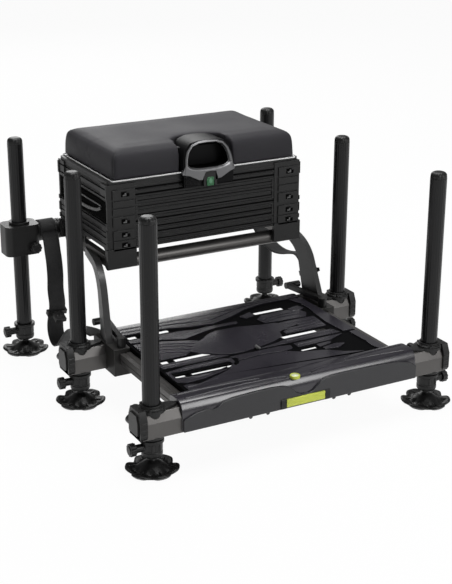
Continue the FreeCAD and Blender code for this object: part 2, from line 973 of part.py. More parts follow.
# Side arm: rises from the guide block and sweeps back under the seat frame
def side_arm():
    plate = prism(
        "YZ",
        [
            (0, S.guide_top),
            (S.arm_front_bend, S.arm_front_bend_height, S.arm_front_round, 1),
            (S.arm_crown_start, S.arm_crown),
            (S.arm_end, S.arm_crown),
            (S.arm_end, S.arm_soffit),
            (S.arm_soffit_start, S.arm_soffit, S.arm_back_round, -1),
            (S.arm_back_bend, S.arm_back_bend_height),
            (S.arm_depth, S.guide_top),
        ],
        Size(0.0),
        S.arm_thickness,
    )
    place(plate, S.arm_inner, -S.arm_front, 0, about("z", float(S.arm_toe)))
    plate.setExpression("Placement.Rotation.Angle", S.arm_toe.text)
    room = block(
        (S.side_bar_outer, S.guide_outer + S.arm_depth),
        (-S.guide_front, S.box_back),
        (S.guide_top, S.leg_top),
    )
    arm = doc.addObject("Part::Common", "Arm")
    arm.Base = plate
    arm.Tool = room
    return arm


# Seat frame: two cross tubes, two side bars and two links back to the rear beam, welded
def seat_frame():
    outer = S.side_bar_outer
    bar_top = S.seat_tube_height + S.seat_tube
    bar_span = (S.front_tube, S.rear_tube)
    pieces = []
    for y in (S.front_tube, S.rear_tube):
        pieces.append(rod("x", S.seat_tube, (-outer, outer), (y, S.seat_tube_height)))
    for side in (1, -1):
        low, high = outer - S.side_bar_width, outer
        x = (low, high) if side == 1 else (-high, -low)
        pieces.append(block(x, bar_span, (bar_top - S.side_bar_height, bar_top)))
        low = S.link_spread - S.link_width / 2
        high = S.link_spread + S.link_width / 2
        x = (low, high) if side == 1 else (-high, -low)
        z = (S.seat_tube_height - S.seat_tube / 2, S.seat_tube_height + S.seat_tube / 2)
        pieces.append(block(x, (S.rear_tube, S.rear_reach), z))
    centre = (S.rear_reach, S.rear_beam_height)
    reach = S.rear_beam_half + 1
    clear = rod("x", S.rear_beam_radius + S.running_gap, (-reach, reach), centre)
    return cut(fused(*pieces), clear)


def rear_beam():
    span = (-S.rear_beam_half, S.rear_beam_half)
    centre = (S.rear_reach, S.rear_beam_height)
    return cut(
        rod("x", S.rear_beam_radius, span, centre),
        rod("x", S.rear_beam_radius - S.rear_beam_wall, span, centre),
    )


# Rear clamp: a cast block round the leg with a grooved neck over the end of the rear beam
def rear_clamp():
    half = S.clamp_half_width
    depth = S.clamp_half_depth
    body = slab((-half, half), (-depth, depth), (S.clamp_base, S.clamp_top), S.clamp_round)
    centre = (0, S.rear_beam_height)
    neck = rod("x", S.clamp_neck, (-S.clamp_neck_end, 0), centre)
    collar_top = S.clamp_top + S.clamp_collar_height
    collar = rod("z", S.clamp_collar, (S.clamp_top, collar_top), (0, 0))
    grooves = []
    for i in range(int(S.clamp_grooves)):
        start = -S.clamp_neck_end + 6 + 10 * i
        ring = cut(
            rod("x", S.clamp_neck + 1, (start, start + 4), centre),
            rod("x", S.clamp_neck - 1.5, (start, start + 4), centre),
        )
        grooves.append(ring)
    beam_end = S.rear_beam_half - S.leg_spread
    socket = rod(
        "x",
        S.rear_beam_radius + S.running_gap,
        (-S.clamp_neck_end - 1, beam_end + S.seat_gap),
        centre,
    )
    bore = rod("z", S.leg_radius + S.running_gap, (S.clamp_base - 1, collar_top + 1), (0, 0))
    side = (-S.clamp_screw_side, S.clamp_screw_height)
    span = (-depth - 1, depth / 2 + S.seat_gap)
    screw = rod("y", S.screw_radius + S.running_gap, span, side)
    return cut(fused(body, neck, collar), socket, bore, screw, *grooves)


def corner_blocks(z, y_span, flare=0):
    """Proud blocks at both ends of one long face, between two heights."""
    pieces = []
    for side in (1, -1):
        low, high = S.box_half - S.block_width, S.box_half + flare
        x = (low, high) if side == 1 else (-high, -low)
        pieces.append(block(x, y_span, z))
    return pieces


def faces():
    """Depths of the proud blocks on the front and the back face."""
    deep = S.block_proud + S.box_wall
    return [(S.box_front, S.box_front + deep), (S.box_back - deep, S.box_back)]


def shell(z):
    """Four recessed walls and the floor of one tray, with its proud corner blocks."""
    half = S.box_half - S.block_proud
    y = (S.box_front + S.block_proud, S.box_back - S.block_proud)
    outer = slab((-half, half), y, z, S.box_round)
    wall = S.box_wall
    blocks = []
    for y_span in faces():
        blocks += corner_blocks(z, y_span)
    sides = []
    for side in (1, -1):
        for y_span in (
            (S.box_front, S.box_front + S.block_width / 2),
            (S.box_back - S.block_width / 2, S.box_back),
        ):
            low, high = S.box_half - S.block_proud - wall, S.box_half
            x = (low, high) if side == 1 else (-high, -low)
            sides.append(block(x, y_span, z))
    return fused(outer, *blocks, *sides)


def hollow(z):
    """Room inside the walls of one tray."""
    half = S.box_half - S.block_proud - S.box_wall
    y = (
        S.box_front + S.block_proud + S.box_wall,
        S.box_back - S.block_proud - S.box_wall,
    )
    return block((-half, half), y, z)


def panel_ribs(heights):
    """Raised lines along the front and the back panel of a tray."""
    half = S.box_half - S.block_width
    front = S.box_front + S.block_proud
    back = S.box_back - S.block_proud
    ribs = []
    for height in heights:
        z = (height, height + S.panel_rib)
        ribs.append(block((-half, half), (front - S.panel_rib_proud, front), z))
        ribs.append(block((-half, half), (back, back + S.panel_rib_proud), z))
    return ribs


def clips(base):
    """Latch lugs on the corner blocks of one tray."""
    lugs = []
    half = S.clip_width / 2
    z = (base, base + S.clip_height)
    for side in (1, -1):
        x = (S.clip_spread * side - half, S.clip_spread * side + half)
        lugs.append(block(x, (S.box_front - S.clip_proud, S.box_front), z))
        lugs.append(block(x, (S.box_back, S.box_back + S.clip_proud), z))
    return lugs


def lip(base):
    """Locating ring under a tray, inside the walls of the one below."""
    gap = S.box_wall + S.block_proud + S.lip_gap
    half = S.box_half - gap
    y = (S.box_front + gap, S.box_back - gap)
    wall = S.box_wall
    z = (base - S.lip_depth, base)
    ring = cut(
        block((-half, half), y, z),
        block((wall - half, half - wall), (y[0] + wall, y[1] - wall), z),
    )
    return ring


def tray(base, top, rib_heights, with_lip):
    body = cut(shell((base, top)), hollow((base + S.tray_floor, top + 1)))
    clip_base = base + (top - base) / 2 - S.clip_height / 2
    extras = panel_ribs(rib_heights) + clips(clip_base)
    if with_lip:
        extras.append(lip(base))
    return fused(body, *extras)


# Base: a plate on the seat frame with skirts, corner feet and arched side openings
def base_frame():
    half = S.box_half - S.block_proud
    y = (S.box_front + S.block_proud, S.box_back - S.block_proud)
    plate = slab((-half, half), y, (S.panel_base, S.lower_base), S.box_round)
    under = S.seat_tube_height + S.seat_tube
    wall = S.box_wall
    inner = block((wall - half, half - wall), (y[0] + wall, y[1] - wall), (0, S.base_plate))
    pieces = []
    flare = S.base_flare
    front, back = faces()
    for y_span in ((front[0] - flare, front[1]), (back[0], back[1] + flare)):
        pieces += corner_blocks((S.box_base, S.lower_base), y_span, flare)
    tube_gap = S.seat_tube + S.seat_gap
    skirt_span = (S.front_tube - tube_gap, S.rear_tube + tube_gap)
    for side in (1, -1):
        low, high = half - wall, S.box_half
        x = (low, high) if side == 1 else (-high, -low)
        pieces.append(block(x, (S.box_front, skirt_span[0]), (S.box_base, S.lower_base)))
        pieces.append(block(x, (skirt_span[1], S.box_back), (S.box_base, S.lower_base)))
        low, high = half - wall, half
        x = (low, high) if side == 1 else (-high, -low)
        pieces.append(block(x, skirt_span, (under + S.seat_gap, S.lower_base)))
    arches = []
    radius = (S.base_plate - under) / 2
    for start in (S.arch_front, S.arch_front + S.arch_pitch):
        end = start + S.arch_length
        reach = S.box_half + 1
        arches.append(
            block((-reach, reach), (start + radius, end - radius), (0, S.base_plate))
        )
        for y_round in (start + radius, end - radius):
            centre = (y_round, S.base_plate - radius)
            arches.append(rod("x", radius, (-reach, reach), centre))
    saddles = []
    for side in (1, -1):
        for tube in (S.front_tube, S.rear_tube):
            low, high = S.clip_spread - S.clip_width, S.clip_spread
            x = (low, high) if side == 1 else (-high, -low)
            span = (tube - S.seat_tube / 2, tube + S.seat_tube / 2)
            saddles.append(block(x, span, (under, S.base_plate)))
    frame = cut(fused(cut(plate, inner), *pieces), *arches)
    return fused(frame, *saddles)


# Drawer case: open at both ends, split by a partition
def drawer_case():
    z = (S.drawer_base, S.top_base)
    half = S.box_half + 1
    inner_y = (
        S.box_front + S.block_proud + S.box_wall,
        S.box_back - S.block_proud - S.box_wall,
    )
    low, high = S.drawer_base + S.tray_floor, S.top_base - S.tray_floor
    tunnel = block((-half, half), inner_y, (low, high))
    wall = S.box_wall / 2
    partition = block((-wall, wall), inner_y, (low, high))
    height = S.top_base - S.drawer_base
    ribs = panel_ribs([S.drawer_base + height * share for share in (0.22, 0.5, 0.78)])
    clip_base = S.drawer_base + S.clip_height / 2
    body = cut(shell(z), tunnel)
    return fused(body, partition, *ribs, *clips(clip_base), lip(S.drawer_base))


# Side drawer: an open bin behind a front plate with a curved grip recess
def side_drawer():
    gap = S.drawer_gap
    y = (
        S.box_front + S.block_proud + S.box_wall + gap,
        S.box_back - S.block_proud - S.box_wall - gap,
    )
    z = (S.drawer_base + S.tray_floor + S.seat_gap, S.top_base - S.tray_floor - gap)
    outer = S.box_half - S.block_proud - S.box_wall
    front = outer - S.drawer_front
    wall = S.drawer_wall
    bin_top = z[1] - gap
    bin_shell = cut(
        block((S.drawer_middle, outer), y, (z[0], bin_top)),
        block(
            (S.drawer_middle + wall, front),
            (y[0] + wall, y[1] - wall),
            (z[0] + wall, bin_top + 1),
        ),
    )
    plate = block((front, outer), y, z)
    middle = (S.box_front + S.box_back) / 2
    span = (middle - S.grip_width / 2, middle + S.grip_width / 2)
    low = S.drawer_base + (S.top_base - S.drawer_base) / 2
    depth = S.drawer_front / 2
    recess = block((outer - depth, outer + 1), span, (low - S.grip_height / 2, low))
    lower_lip = block((outer, outer + depth), span, (low, low + S.grip_height / 4))
    return fused(cut(fused(bin_shell, plate), recess), lower_lip)


def hinge_lugs(starts, arm_y, arm_z):
    """Barrels round the hinge pin, each with a leaf that reaches its own panel."""
    pieces = []
    for start in starts:
        span = (start, start + S.hinge_knuckle)
        pieces.append(
            rod("x", S.hinge_barrel, span, (S.hinge_back, S.hinge_height))
        )
        pieces.append(block(span, arm_y, arm_z))
    return pieces


def pin_bore():
    reach = S.hinge_half + 1
    centre = (S.hinge_back, S.hinge_height)
    return rod("x", S.hinge_pin_radius + S.running_gap, (-reach, reach), centre)


# Top tray: the tray under the lid; it carries the outer barrels of the lid hinge
def top_tray():
    height = S.lid_base - S.top_base
    heights = [S.top_base + height * share for share in (0.3, 0.7)]
    body = tray(S.top_base, S.lid_base, heights, False)
    low = S.hinge_height - S.hinge_barrel
    back = S.box_back - S.block_proud
    room = rod(
        "x",
        S.hinge_barrel + S.seat_gap,
        (-S.hinge_half - 1, S.hinge_half + 1),
        (S.hinge_back, S.hinge_height),
    )
    starts = [-S.hinge_half, S.hinge_half - S.hinge_knuckle]
    lugs = hinge_lugs(starts, (back, S.hinge_back), (low, S.hinge_height))
    return cut(fused(cut(body, room), *lugs), pin_bore())


# Lid: the board under the cushion, hinged at the back
def seat_lid():
    half = S.box_half - S.block_proud
    z = (S.lid_base + S.lid_gap, S.cushion_base - S.seat_gap)
    y = (S.box_front + S.block_proud, S.box_back - S.block_proud)
    board = slab((-half, half), y, z, S.box_round)
    inner = S.hinge_half - S.hinge_knuckle - 1
    starts = [-inner, inner - S.hinge_knuckle]
    leaf_low = z[0]
    lugs = hinge_lugs(starts, (y[1] - 1, S.hinge_back), (leaf_low, z[1]))
    return cut(fused(board, *lugs), pin_bore())


def hinge_pin():
    span = (-S.hinge_half, S.hinge_half)
    return rod("x", S.hinge_pin_radius, span, (S.hinge_back, S.hinge_height))


def rounded_loop(half, y, z, radius):
    """Rounded rectangle of lines and arcs at one height."""
    points = []
    corners = [(half, y[1], 0), (-half, y[1], 90), (-half, y[0], 180), (half, y[0], 270)]
    edges = []
    for x, depth, start in corners:
        centre_x = x - math.copysign(radius, x)
        centre_y = depth - math.copysign(radius, depth - (y[0] + y[1]) / 2)
        arc = [
            Vector(
                centre_x + radius * math.cos(math.radians(start + step)),
                centre_y + radius * math.sin(math.radians(start + step)),
                z,
            )
            for step in (0, 45, 90)
        ]
        points.append(arc)
    for i, arc in enumerate(points):
        edges.append(Part.Arc(*arc).toShape())
        edges.append(Part.LineSegment(arc[2], points[(i + 1) % 4][0]).toShape())
    return Part.Wire(edges)


# Cushion: crowned, drawn in a little at its waist, with a notch for the grab handle
def seat_cushion():
    height = S.cushion_top - S.cushion_base
    levels = [
        (0.0, 0.0),
        (0.12, 0.8),
        (0.35, 2.2),
        (0.55, 3.0),
        (0.7, 4.2),
        (0.79, 6.5),
        (0.86, 10.5),
        (0.92, 17.0),
        (0.965, 29.0),
        (1.0, 62.0),
    ]
    loops = []
    for share, inset in levels:
        inset = inset * S.cushion_draw / 3
        y = (S.cushion_front + inset, S.cushion_back - inset)
        radius = float(S.cushion_corner + inset)
        half = float(S.cushion_half - inset)
        z = float(S.cushion_base + height * share)
        loops.append(rounded_loop(half, (float(y[0]), float(y[1])), z, radius))
    body = Part.makeLoft(loops, True, True)
    gap = S.seat_gap
    width = float(S.handle_half + gap) * 2
    notch = Part.makeBox(
        width,
        float(S.handle_back + gap),
        float(height) + 2,
        Vector(-width / 2, 0, float(S.cushion_base) - 1),
    )
    item = doc.addObject("Part::Feature", "Cushion")
    item.Shape = body.cut(notch)
    return item


def mirrored_pair(points):
    """Plan outline of points on the right, closed by their mirror images."""
    return points + [(-x, y) for x, y in points[::-1]]


# Grab handle: a hollow moulding with a wide mouth, in the notch of the cushion
def latch_handle():
    half = S.handle_half
    face = S.box_front - S.base_flare - S.seat_gap
    shoulder = S.handle_back - S.handle_shoulder
    profile = prism(
        "YZ",
        [
            (face, S.handle_base),
            (face, S.handle_foot),
            (S.box_front - S.seat_gap, S.handle_foot),
            (S.box_front - S.seat_gap, S.cushion_base),
            (S.handle_back, S.cushion_base),
            (S.handle_back, S.handle_top),
            (S.handle_brow, S.handle_top),
            (S.handle_chin, S.handle_chin_height),
            (S.handle_chin, S.mouth_low + S.handle_skin),
            (S.handle_heel, S.handle_heel_height),
            (S.handle_heel, S.handle_base + S.handle_skin),
            (face - S.handle_skin, S.handle_base),
        ],
        -half,
        half,
    )
    plan = prism(
        "XY",
        mirrored_pair(
            [
                (half, 0),
                (half, shoulder),
                (half - S.handle_shoulder / 2, S.handle_back - S.handle_shoulder / 4),
                (half / 2, S.handle_back),
            ]
        ),
        S.handle_base - 1,
        S.handle_top + 1,
    )
    shell = doc.addObject("Part::Common", "Shell")
    shell.Base = profile
    shell.Tool = plan
    radius = S.mouth_round
    reach = S.mouth_half - radius
    span = (0, S.mouth_back)
    mouth = [block((-reach, reach), span, (S.mouth_low, S.mouth_high))]
    mouth.append(
        block(
            (-S.mouth_half, S.mouth_half),
            span,
            (S.mouth_low + radius, S.mouth_high - radius),
        )
    )
    for x in (-reach, reach):
        for z in (S.mouth_low + radius, S.mouth_high - radius):
            mouth.append(rod("y", radius, span, (x, z)))
    sides = []
    for side in (1, -1):
        low, high = S.chin_half, half + 1
        x = (low, high) if side == 1 else (-high, -low)
        sides.append(block(x, (0, S.handle_heel + S.handle_skin), (0, S.handle_heel_height)))
    gap = S.seat_gap
    pocket = block(
        (-S.button_half - gap, S.button_half + gap),
        (0, S.button_front + S.button_length),
        (S.button_low - gap, S.button_high + gap),
    )
    return cut(shell, pocket, *mouth, *sides)


# Button that frees the lid; it travels back into the handle
def release_button():
    back = S.button_front + S.button_length - S.button_travel - S.seat_gap
    half = S.button_half
    y = (S.button_front, back)
    return slab((-half, half), y, (S.button_low, S.button_high), S.button_round)


def slots(rows, z):
    """Long drain slots to the left and to the right of the footplate's middle."""
    cuts = []
    for depth, left, right, end in rows:
        y = (-depth, S.slot_width - depth)
        cuts.append(block((-S.slot_outer, -left), y, z))
        cuts.append(block((right, end), y, z))
    return cuts


def deck(y, thick):
    half = S.rail_outer - S.rail_width - S.deck_gap
    side = S.deck_side
    plate = block((-half, half), y, (S.deck_base, S.deck_top))
    bay = block(
        (side - half, half - side),
        (y[0] + side, y[1] - side),
        (S.deck_base - 1, S.deck_top - thick),
    )
    ribs = []
    for share in (-0.5, 0.0, 0.5):
        middle = half * share
        x = (middle - S.deck_rib / 2, middle + S.deck_rib / 2)
        ribs.append(block(x, y, (S.deck_base, S.deck_top - thick)))
    return fused(cut(plate, bay), *ribs)


# Rear half of the footplate, between the rails
def footplate_rear():
    y = (-S.deck_seam, S.deck_rear)
    z = (S.deck_base - 1, S.deck_top + 1)
    rows = [
        (S.slot_back, S.slot_back_left, S.slot_back_right, S.slot_back_end),
        (S.slot_middle, S.slot_middle_left, S.slot_middle_right, S.slot_middle_end),
    ]
    return cut(deck(y, S.deck_skin), *slots(rows, z))


# Front half of the footplate: it wraps the front beam and carries the grip
def footplate_front():
    front = S.front_reach + S.beam_depth / 2
    back = S.front_reach - S.beam_depth / 2
    skin = S.nose_skin
    gap = S.nose_gap
    flat = S.beam_flat / 2
    middle = S.front_reach
    nose = prism(
        "YZ",
        [
            (-back + gap, S.deck_base),
            (-back + gap, S.beam_shoulder + gap),
            (flat - middle + gap, S.beam_top + gap),
            (-flat - middle - gap, S.beam_top + gap),
            (-front - gap, S.beam_shoulder + gap),
            (-front - gap, S.nose_lip),
            (-front - gap - skin, S.nose_lip),
            (-front - gap - skin, S.beam_shoulder + skin * 3),
            (-front + skin * 2, S.nose_top),
            (-back + gap, S.nose_top - skin / 2),
            (-back + skin, S.deck_top),
            (-back + skin, S.deck_base),
        ],
        -S.nose_half,
        S.nose_half,
    )
    y = (-back + skin, -S.deck_seam - S.seam_gap)
    z = (S.deck_base - 1, S.deck_top + 1)
    rows = [(S.slot_fore, S.slot_fore_left, S.slot_fore_right, S.slot_fore_end)]
    face = -front - gap - skin
    brackets = []
    for side in (1, -1):
        low = S.grip_bar_half + S.seat_gap
        high = low + S.grip_bracket
        x = (low, high) if side == 1 else (-high, -low)
        span = (face - S.grip_bar_depth, face)
        brackets.append(block(x, span, (S.nose_lip, S.grip_bar_base + S.grip_bar_height)))
    trimmed = cut(deck(y, S.deck_skin), *slots(rows, z))
    rail_ends = []
    for side in (1, -1):
        low, high = S.rail_outer - S.rail_width - S.deck_gap, S.nose_half + 1
        x = (low, high) if side == 1 else (-high, -low)
        rail_ends.append(block(x, (-back - gap, y[0] + gap), (S.beam_shoulder, z[1] + skin)))
    pocket = rod(
        "z",
        S.level_radius + S.running_gap,
        (S.nose_top - S.level_height, S.nose_top + 1),
        (-S.level_left, -S.level_front),
    )
    return cut(fused(nose, trimmed, *brackets), pocket, *rail_ends)


def platform_handle():
    half = S.grip_bar_half
    face = -S.front_reach - S.beam_depth / 2 - S.nose_gap - S.nose_skin
    z = (S.grip_bar_base, S.grip_bar_base + S.grip_bar_height)
    return block((-half, half), (face - S.grip_bar_depth, face), z)


# Spirit level: a ringed vial let into the front of the footplate
def spirit_level():
    base = S.nose_top - S.level_height
    centre = (-S.level_left, -S.level_front)
    return rod("z", S.level_radius, (base, S.nose_top + 1), centre)


# Cam lever: turns about the pin on its guide block and frees the rail
def rail_lever():
    pivot = (S.lever_pivot_side, -S.lever_pivot_front)
    tip = (S.lever_tip_side, S.lever_tip_back)
    z = (S.lever_base, S.lever_base + S.lever_height)
    half = S.lever_width / 2
    bar = prism(
        "XY",
        [
            (pivot[0] - half, pivot[1]),
            (pivot[0] + half, pivot[1]),
            (tip[0] + half, tip[1]),
            (tip[0] - half, tip[1]),
        ],
        z[0],
        z[1],
    )
    boss = rod("z", S.lever_boss, (S.guide_top + S.seat_gap, z[1]), pivot)
    span = (tip[0] - half, tip[0] - half + S.lever_grip_length)
    grip = rod("x", S.lever_grip_radius, span, (tip[1], z[0] + S.lever_height / 2))
    bore = rod("z", S.lever_pin + S.running_gap, (S.guide_top, z[1] + 1), pivot)
    return cut(fused(bar, boss, grip), bore)


def strap_line(hang):
    """Middle line of a strap: depth and height, and how far it stands out from the neck."""
    radius = float(S.clamp_neck + S.seat_gap + S.strap_thickness / 2)
    y0, z0 = float(S.rear_reach), float(S.rear_beam_height)
    line = []
    for angle in range(-60, 181, 15):
        turn = math.radians(angle)
        line.append((y0 + radius * math.cos(turn), z0 + radius * math.sin(turn), 0.0))
    shift = float(S.strap_shift)
    for y, z, share in hang:
        line.append((y, z, shift * share))
    return line


def strap_band(line, thickness, width, start):
    """Ruled band of even thickness and width along a line."""
    sections = []
    count = len(line)
    for i, (y, z, shift) in enumerate(line):
        before, after = line[max(i - 1, 0)], line[min(i + 1, count - 1)]
        run = math.hypot(after[0] - before[0], after[1] - before[1])
        side_y = -(after[1] - before[1]) / run * thickness / 2
        side_z = (after[0] - before[0]) / run * thickness / 2
        x = start + shift
        corners = [
            Vector(x, y + side_y, z + side_z),
            Vector(x + width, y + side_y, z + side_z),
            Vector(x + width, y - side_y, z - side_z),
            Vector(x, y - side_y, z - side_z),
        ]
        sections.append(Part.makePolygon(corners + corners[:1]))
    return Part.makeLoft(sections, True, True)


# Carrying straps, slack between the rear necks and the guide blocks
def shoulder_strap(hang):
    item = doc.addObject("Part::Feature", "Strap")
    start = float(S.strap_side - S.strap_width)
    width = float(S.strap_width)
    item.Shape = strap_band(strap_line(hang), float(S.strap_thickness), width, start)
    return item


# Buckle: a slotted plate round the strap, with a holed tab that stands away from it
def strap_buckle(hang, step):
    reach = S.strap_width / 2 + S.buckle_wall
    half = S.buckle_height / 2
    slot = S.strap_thickness / 2 + S.buckle_gap
    outer = slot + S.buckle_wall
    side = S.strap_width / 2 + S.buckle_gap
    ring = cut(
        block((-reach, reach), (-outer, outer), (-half, half)),
        block((-side, side), (-slot, slot), (-half - 1, half + 1)),
    )
    tab_half = S.buckle_tab / 2
    tab = cut(
        block((-tab_half, tab_half), (-outer - S.buckle_tab, -outer), (-half, half / 2)),
        rod("z", S.buckle_hole, (-half - 1, half), (0, -outer - tab_half)),
    )
    whole = group(fused(ring, tab))
    line = strap_line(hang)
    first = len(line) - len(hang) + int(step)
    before, after = line[first], line[first + 1]
    angle = math.degrees(math.atan2(after[1] - before[1], after[0] - before[0])) + 90
    middle = [(a + b) / 2 for a, b in zip(before, after)]
    outward = S.strap_side - S.strap_width / 2 + middle[2]
    place(whole, outward, middle[0], middle[1], about("x", angle))
    return whole


def build():
    tubes = sided(leg_tube())
    knuckles = sided(leg_knuckle())
    feet = sided(foot())
    small_knobs = sided(foot_knob())
    stars = sided(star_knob())
    pinch_knobs = sided(rear_knob())
    for row, side in LEGS:
        place_name = "%s_%s" % (row, side)
        node(on_leg(tubes, row, side), "leg_tube_" + place_name)
        node(on_leg(knuckles, row, side), "leg_knuckle_" + place_name)
        node(on_leg(feet, row, side), "foot_" + place_name)
        node(on_leg(small_knobs, row, side), "foot_knob_" + place_name)
        clamp = pinch_knobs if row == "rear" else stars
        node(on_leg(clamp, row, side), "clamp_knob_" + place_name)
    node(front_beam(), "front_beam")
    node(mid_beam(), "mid_beam")
    ends = [sided(piece) for piece in beam_fittings()]
    for row in ("front", "mid"):
        pieces = [on_leg(pair, row, side) for pair in ends for side in SIDES]
        node(group(*pieces), row + "_beam_fittings")
    node(both(side_rail()), "side_rails")
    node(both(rail_guide()), "rail_guides")
    node(both(side_arm()), "side_arms")
    node(seat_frame(), "seat_frame")
    node(rear_beam(), "rear_beam")
    clamps = sided(rear_clamp())
    node(group(*[on_leg(clamps, "rear", side) for side in SIDES]), "rear_clamps")
    node(base_frame(), "base_frame")
    lower_ribs = [S.lower_base + 8, S.middle_base - 5]
    node(tray(S.lower_base, S.middle_base, lower_ribs, False), "lower_tray")
    middle_ribs = [S.middle_base + 4, S.drawer_base - 12]
    node(tray(S.middle_base, S.drawer_base, middle_ribs, True), "middle_tray")
    node(drawer_case(), "drawer_case")
    drawers = sided(side_drawer())
    node(drawers["left"], "drawer_left")
    node(drawers["right"], "drawer_right")
    node(top_tray(), "top_tray")
    node(seat_lid(), "seat_lid")
    node(hinge_pin(), "hinge_pin")
    node(seat_cushion(), "seat_cushion")
    node(latch_handle(), "latch_handle")
    node(release_button(), "release_button")
    node(footplate_rear(), "footplate_rear")
    node(footplate_front(), "footplate_front")
    node(platform_handle(), "platform_handle")
    node(spirit_level(), "spirit_level")
    levers = sided(rail_lever())
    node(levers["left"], "rail_lever_left")
    node(levers["right"], "rail_lever_right")
    left, right = shoulder_strap(LEFT_HANG), shoulder_strap(RIGHT_HANG)
    node(group(mirrored(left), right), "shoulder_straps")
    left = strap_buckle(LEFT_HANG, LEFT_BUCKLE)
    right = strap_buckle(RIGHT_HANG, RIGHT_BUCKLE)
    node(group(mirrored(left), right), "strap_buckles")


def write():
    doc.recompute()
    failed = [item.Label for item in doc.Objects if {"Invalid", "Error"} & set(item.State)]
    if failed:
        raise RuntimeError("failed: " + ", ".join(failed))
    os.makedirs("parts", exist_ok=True)
    for item in NODES:
        shape = item.Shape
        if shape.isNull() or not shape.isValid():
            raise RuntimeError("bad shape: " + item.Label)
        shape.exportStep("parts/%s.step" % item.Label)
        print(item.Label, len(shape.Solids), round(shape.Volume))


build()
write()
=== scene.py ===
"""Looks of a fishing seat box on six legs, built round its packed construction.

Pieces are drawn in millimetres about a point between the middle legs, 8 mm below the ground,
and moved to the frame's metres when they are finished.
"""

import json
import math

import bmesh
import bpy
from mathutils import Matrix, Vector
from mathutils.bvhtree import BVHTree


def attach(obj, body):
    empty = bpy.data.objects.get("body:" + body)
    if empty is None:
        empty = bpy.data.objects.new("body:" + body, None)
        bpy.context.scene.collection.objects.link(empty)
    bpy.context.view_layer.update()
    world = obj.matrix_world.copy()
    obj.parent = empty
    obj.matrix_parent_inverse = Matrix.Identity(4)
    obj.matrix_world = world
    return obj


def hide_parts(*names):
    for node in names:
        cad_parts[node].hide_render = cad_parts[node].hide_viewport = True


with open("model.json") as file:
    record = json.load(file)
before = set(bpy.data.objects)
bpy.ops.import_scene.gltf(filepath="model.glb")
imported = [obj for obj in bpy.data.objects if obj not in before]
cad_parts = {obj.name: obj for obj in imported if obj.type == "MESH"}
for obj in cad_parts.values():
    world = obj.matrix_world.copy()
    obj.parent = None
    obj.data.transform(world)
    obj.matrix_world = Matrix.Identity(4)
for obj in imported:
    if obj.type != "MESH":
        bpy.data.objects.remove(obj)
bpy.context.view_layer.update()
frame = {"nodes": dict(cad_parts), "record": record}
scene = bpy.context.scene

MM = 0.001
TO_FRAME = Matrix.Scale(MM, 4) @ Matrix.Translation((0.0, 11.0, -8.0))
LEG_SPREAD = 340.0
ROWS = {"front": -368.0, "mid": 0.0, "rear": 346.0}
SIDES = {"left": -1, "right": 1}


def added(name, data):
    """Object that holds the data, linked to the scene."""
    item = bpy.data.objects.new(name, data)
    scene.collection.objects.link(item)
    return item


# ---- camera, light and floor
CAMERA_PLACE = (-1.3469, -2.4890, 1.2440)
CAMERA_TURNS = (28.859, 20.147, 0.160)
CAMERA_LENS = 80.81
LAMP_TARGET = (0.0, 0.0, 0.3)
LAMPS = {
    "top_lamp": ((0.3, 0.2, 3.4), 2.2, 95.0),
    "front_lamp": ((1.5, -3.4, 1.7), 1.6, 48.0),
    "back_lamp": ((1.2, 4.2, 2.3), 2.2, 55.0),
}
WHITE = (1.0, 1.0, 1.0, 1.0)
ROOM_LIGHT = 0.20
FLOOR_RADIUS = 30.0
FLOOR_TONE = (0.88, 0.88, 0.88, 1.0)
FLOOR_WHITE_SHARE = 0.95


def set_camera():
    """Camera at the photo's point of view, from its turns right, down and over in degrees."""
    yaw, pitch, roll = (math.radians(turn) for turn in CAMERA_TURNS)
    level = math.cos(pitch)
    look = Vector((math.sin(yaw) * level, math.cos(yaw) * level, -math.sin(pitch)))
    right = Vector((math.cos(yaw), -math.sin(yaw), 0.0))
    up = right.cross(look)
    rolled_right = right * math.cos(roll) + up * math.sin(roll)
    rolled_up = up * math.cos(roll) - right * math.sin(roll)
    data = bpy.data.cameras.new("camera")
    data.sensor_width = 36.0
    data.lens = CAMERA_LENS
    data.clip_end = 100.0
    turn = Matrix((rolled_right, rolled_up, -look)).transposed().to_4x4()
    scene.camera = added("camera", data)
    scene.camera.matrix_world = Matrix.Translation(CAMERA_PLACE) @ turn


def soft_lamp(name, place, size, power):
    """Round soft lamp aimed at the middle of the seat box."""
    data = bpy.data.lights.new(name, "AREA")
    data.shape = "DISK"
    data.size = size
    data.energy = power
    aim = (Vector(LAMP_TARGET) - Vector(place)).to_track_quat("-Z", "Y")
    lamp = added(name, data)
    lamp.matrix_world = Matrix.Translation(place) @ aim.to_matrix().to_4x4()


def any_ray(tree, *kinds):
    """One for rays of any of these kinds, else nothing."""
    path = tree.nodes.new("ShaderNodeLightPath")
    found = path.outputs[kinds[0]]
    for kind in kinds[1:]:
        found = math_node(tree, "MAXIMUM", found, path.outputs[kind])
    return found


def shade(tree, kind, colour, strength=None):
    node = tree.nodes.new(kind)
    node.inputs["Color"].default_value = colour
    if strength is not None:
        node.inputs["Strength"].default_value = strength
    return node.outputs[0]


def mixed_surface(tree, share, plain, white, end):
    """Two shaders mixed by a share, into a new output node."""
    mix = tree.nodes.new("ShaderNodeMixShader")
    for socket, value in zip(mix.inputs, (share, plain, white)):
        tree.links.new(value, socket)
    tree.links.new(mix.outputs[0], tree.nodes.new(end).inputs["Surface"])


def set_world():
    """Even room light that is seen as plain white."""
    scene.world = bpy.data.worlds.new("studio")
    scene.world.use_nodes = True
    tree = scene.world.node_tree
    tree.nodes.clear()
    mixed_surface(
        tree, any_ray(tree, "Is Camera Ray", "Is Transmission Ray"),
        shade(tree, "ShaderNodeBackground", WHITE, ROOM_LIGHT),
        shade(tree, "ShaderNodeBackground", WHITE, 1.0), "ShaderNodeOutputWorld",
    )


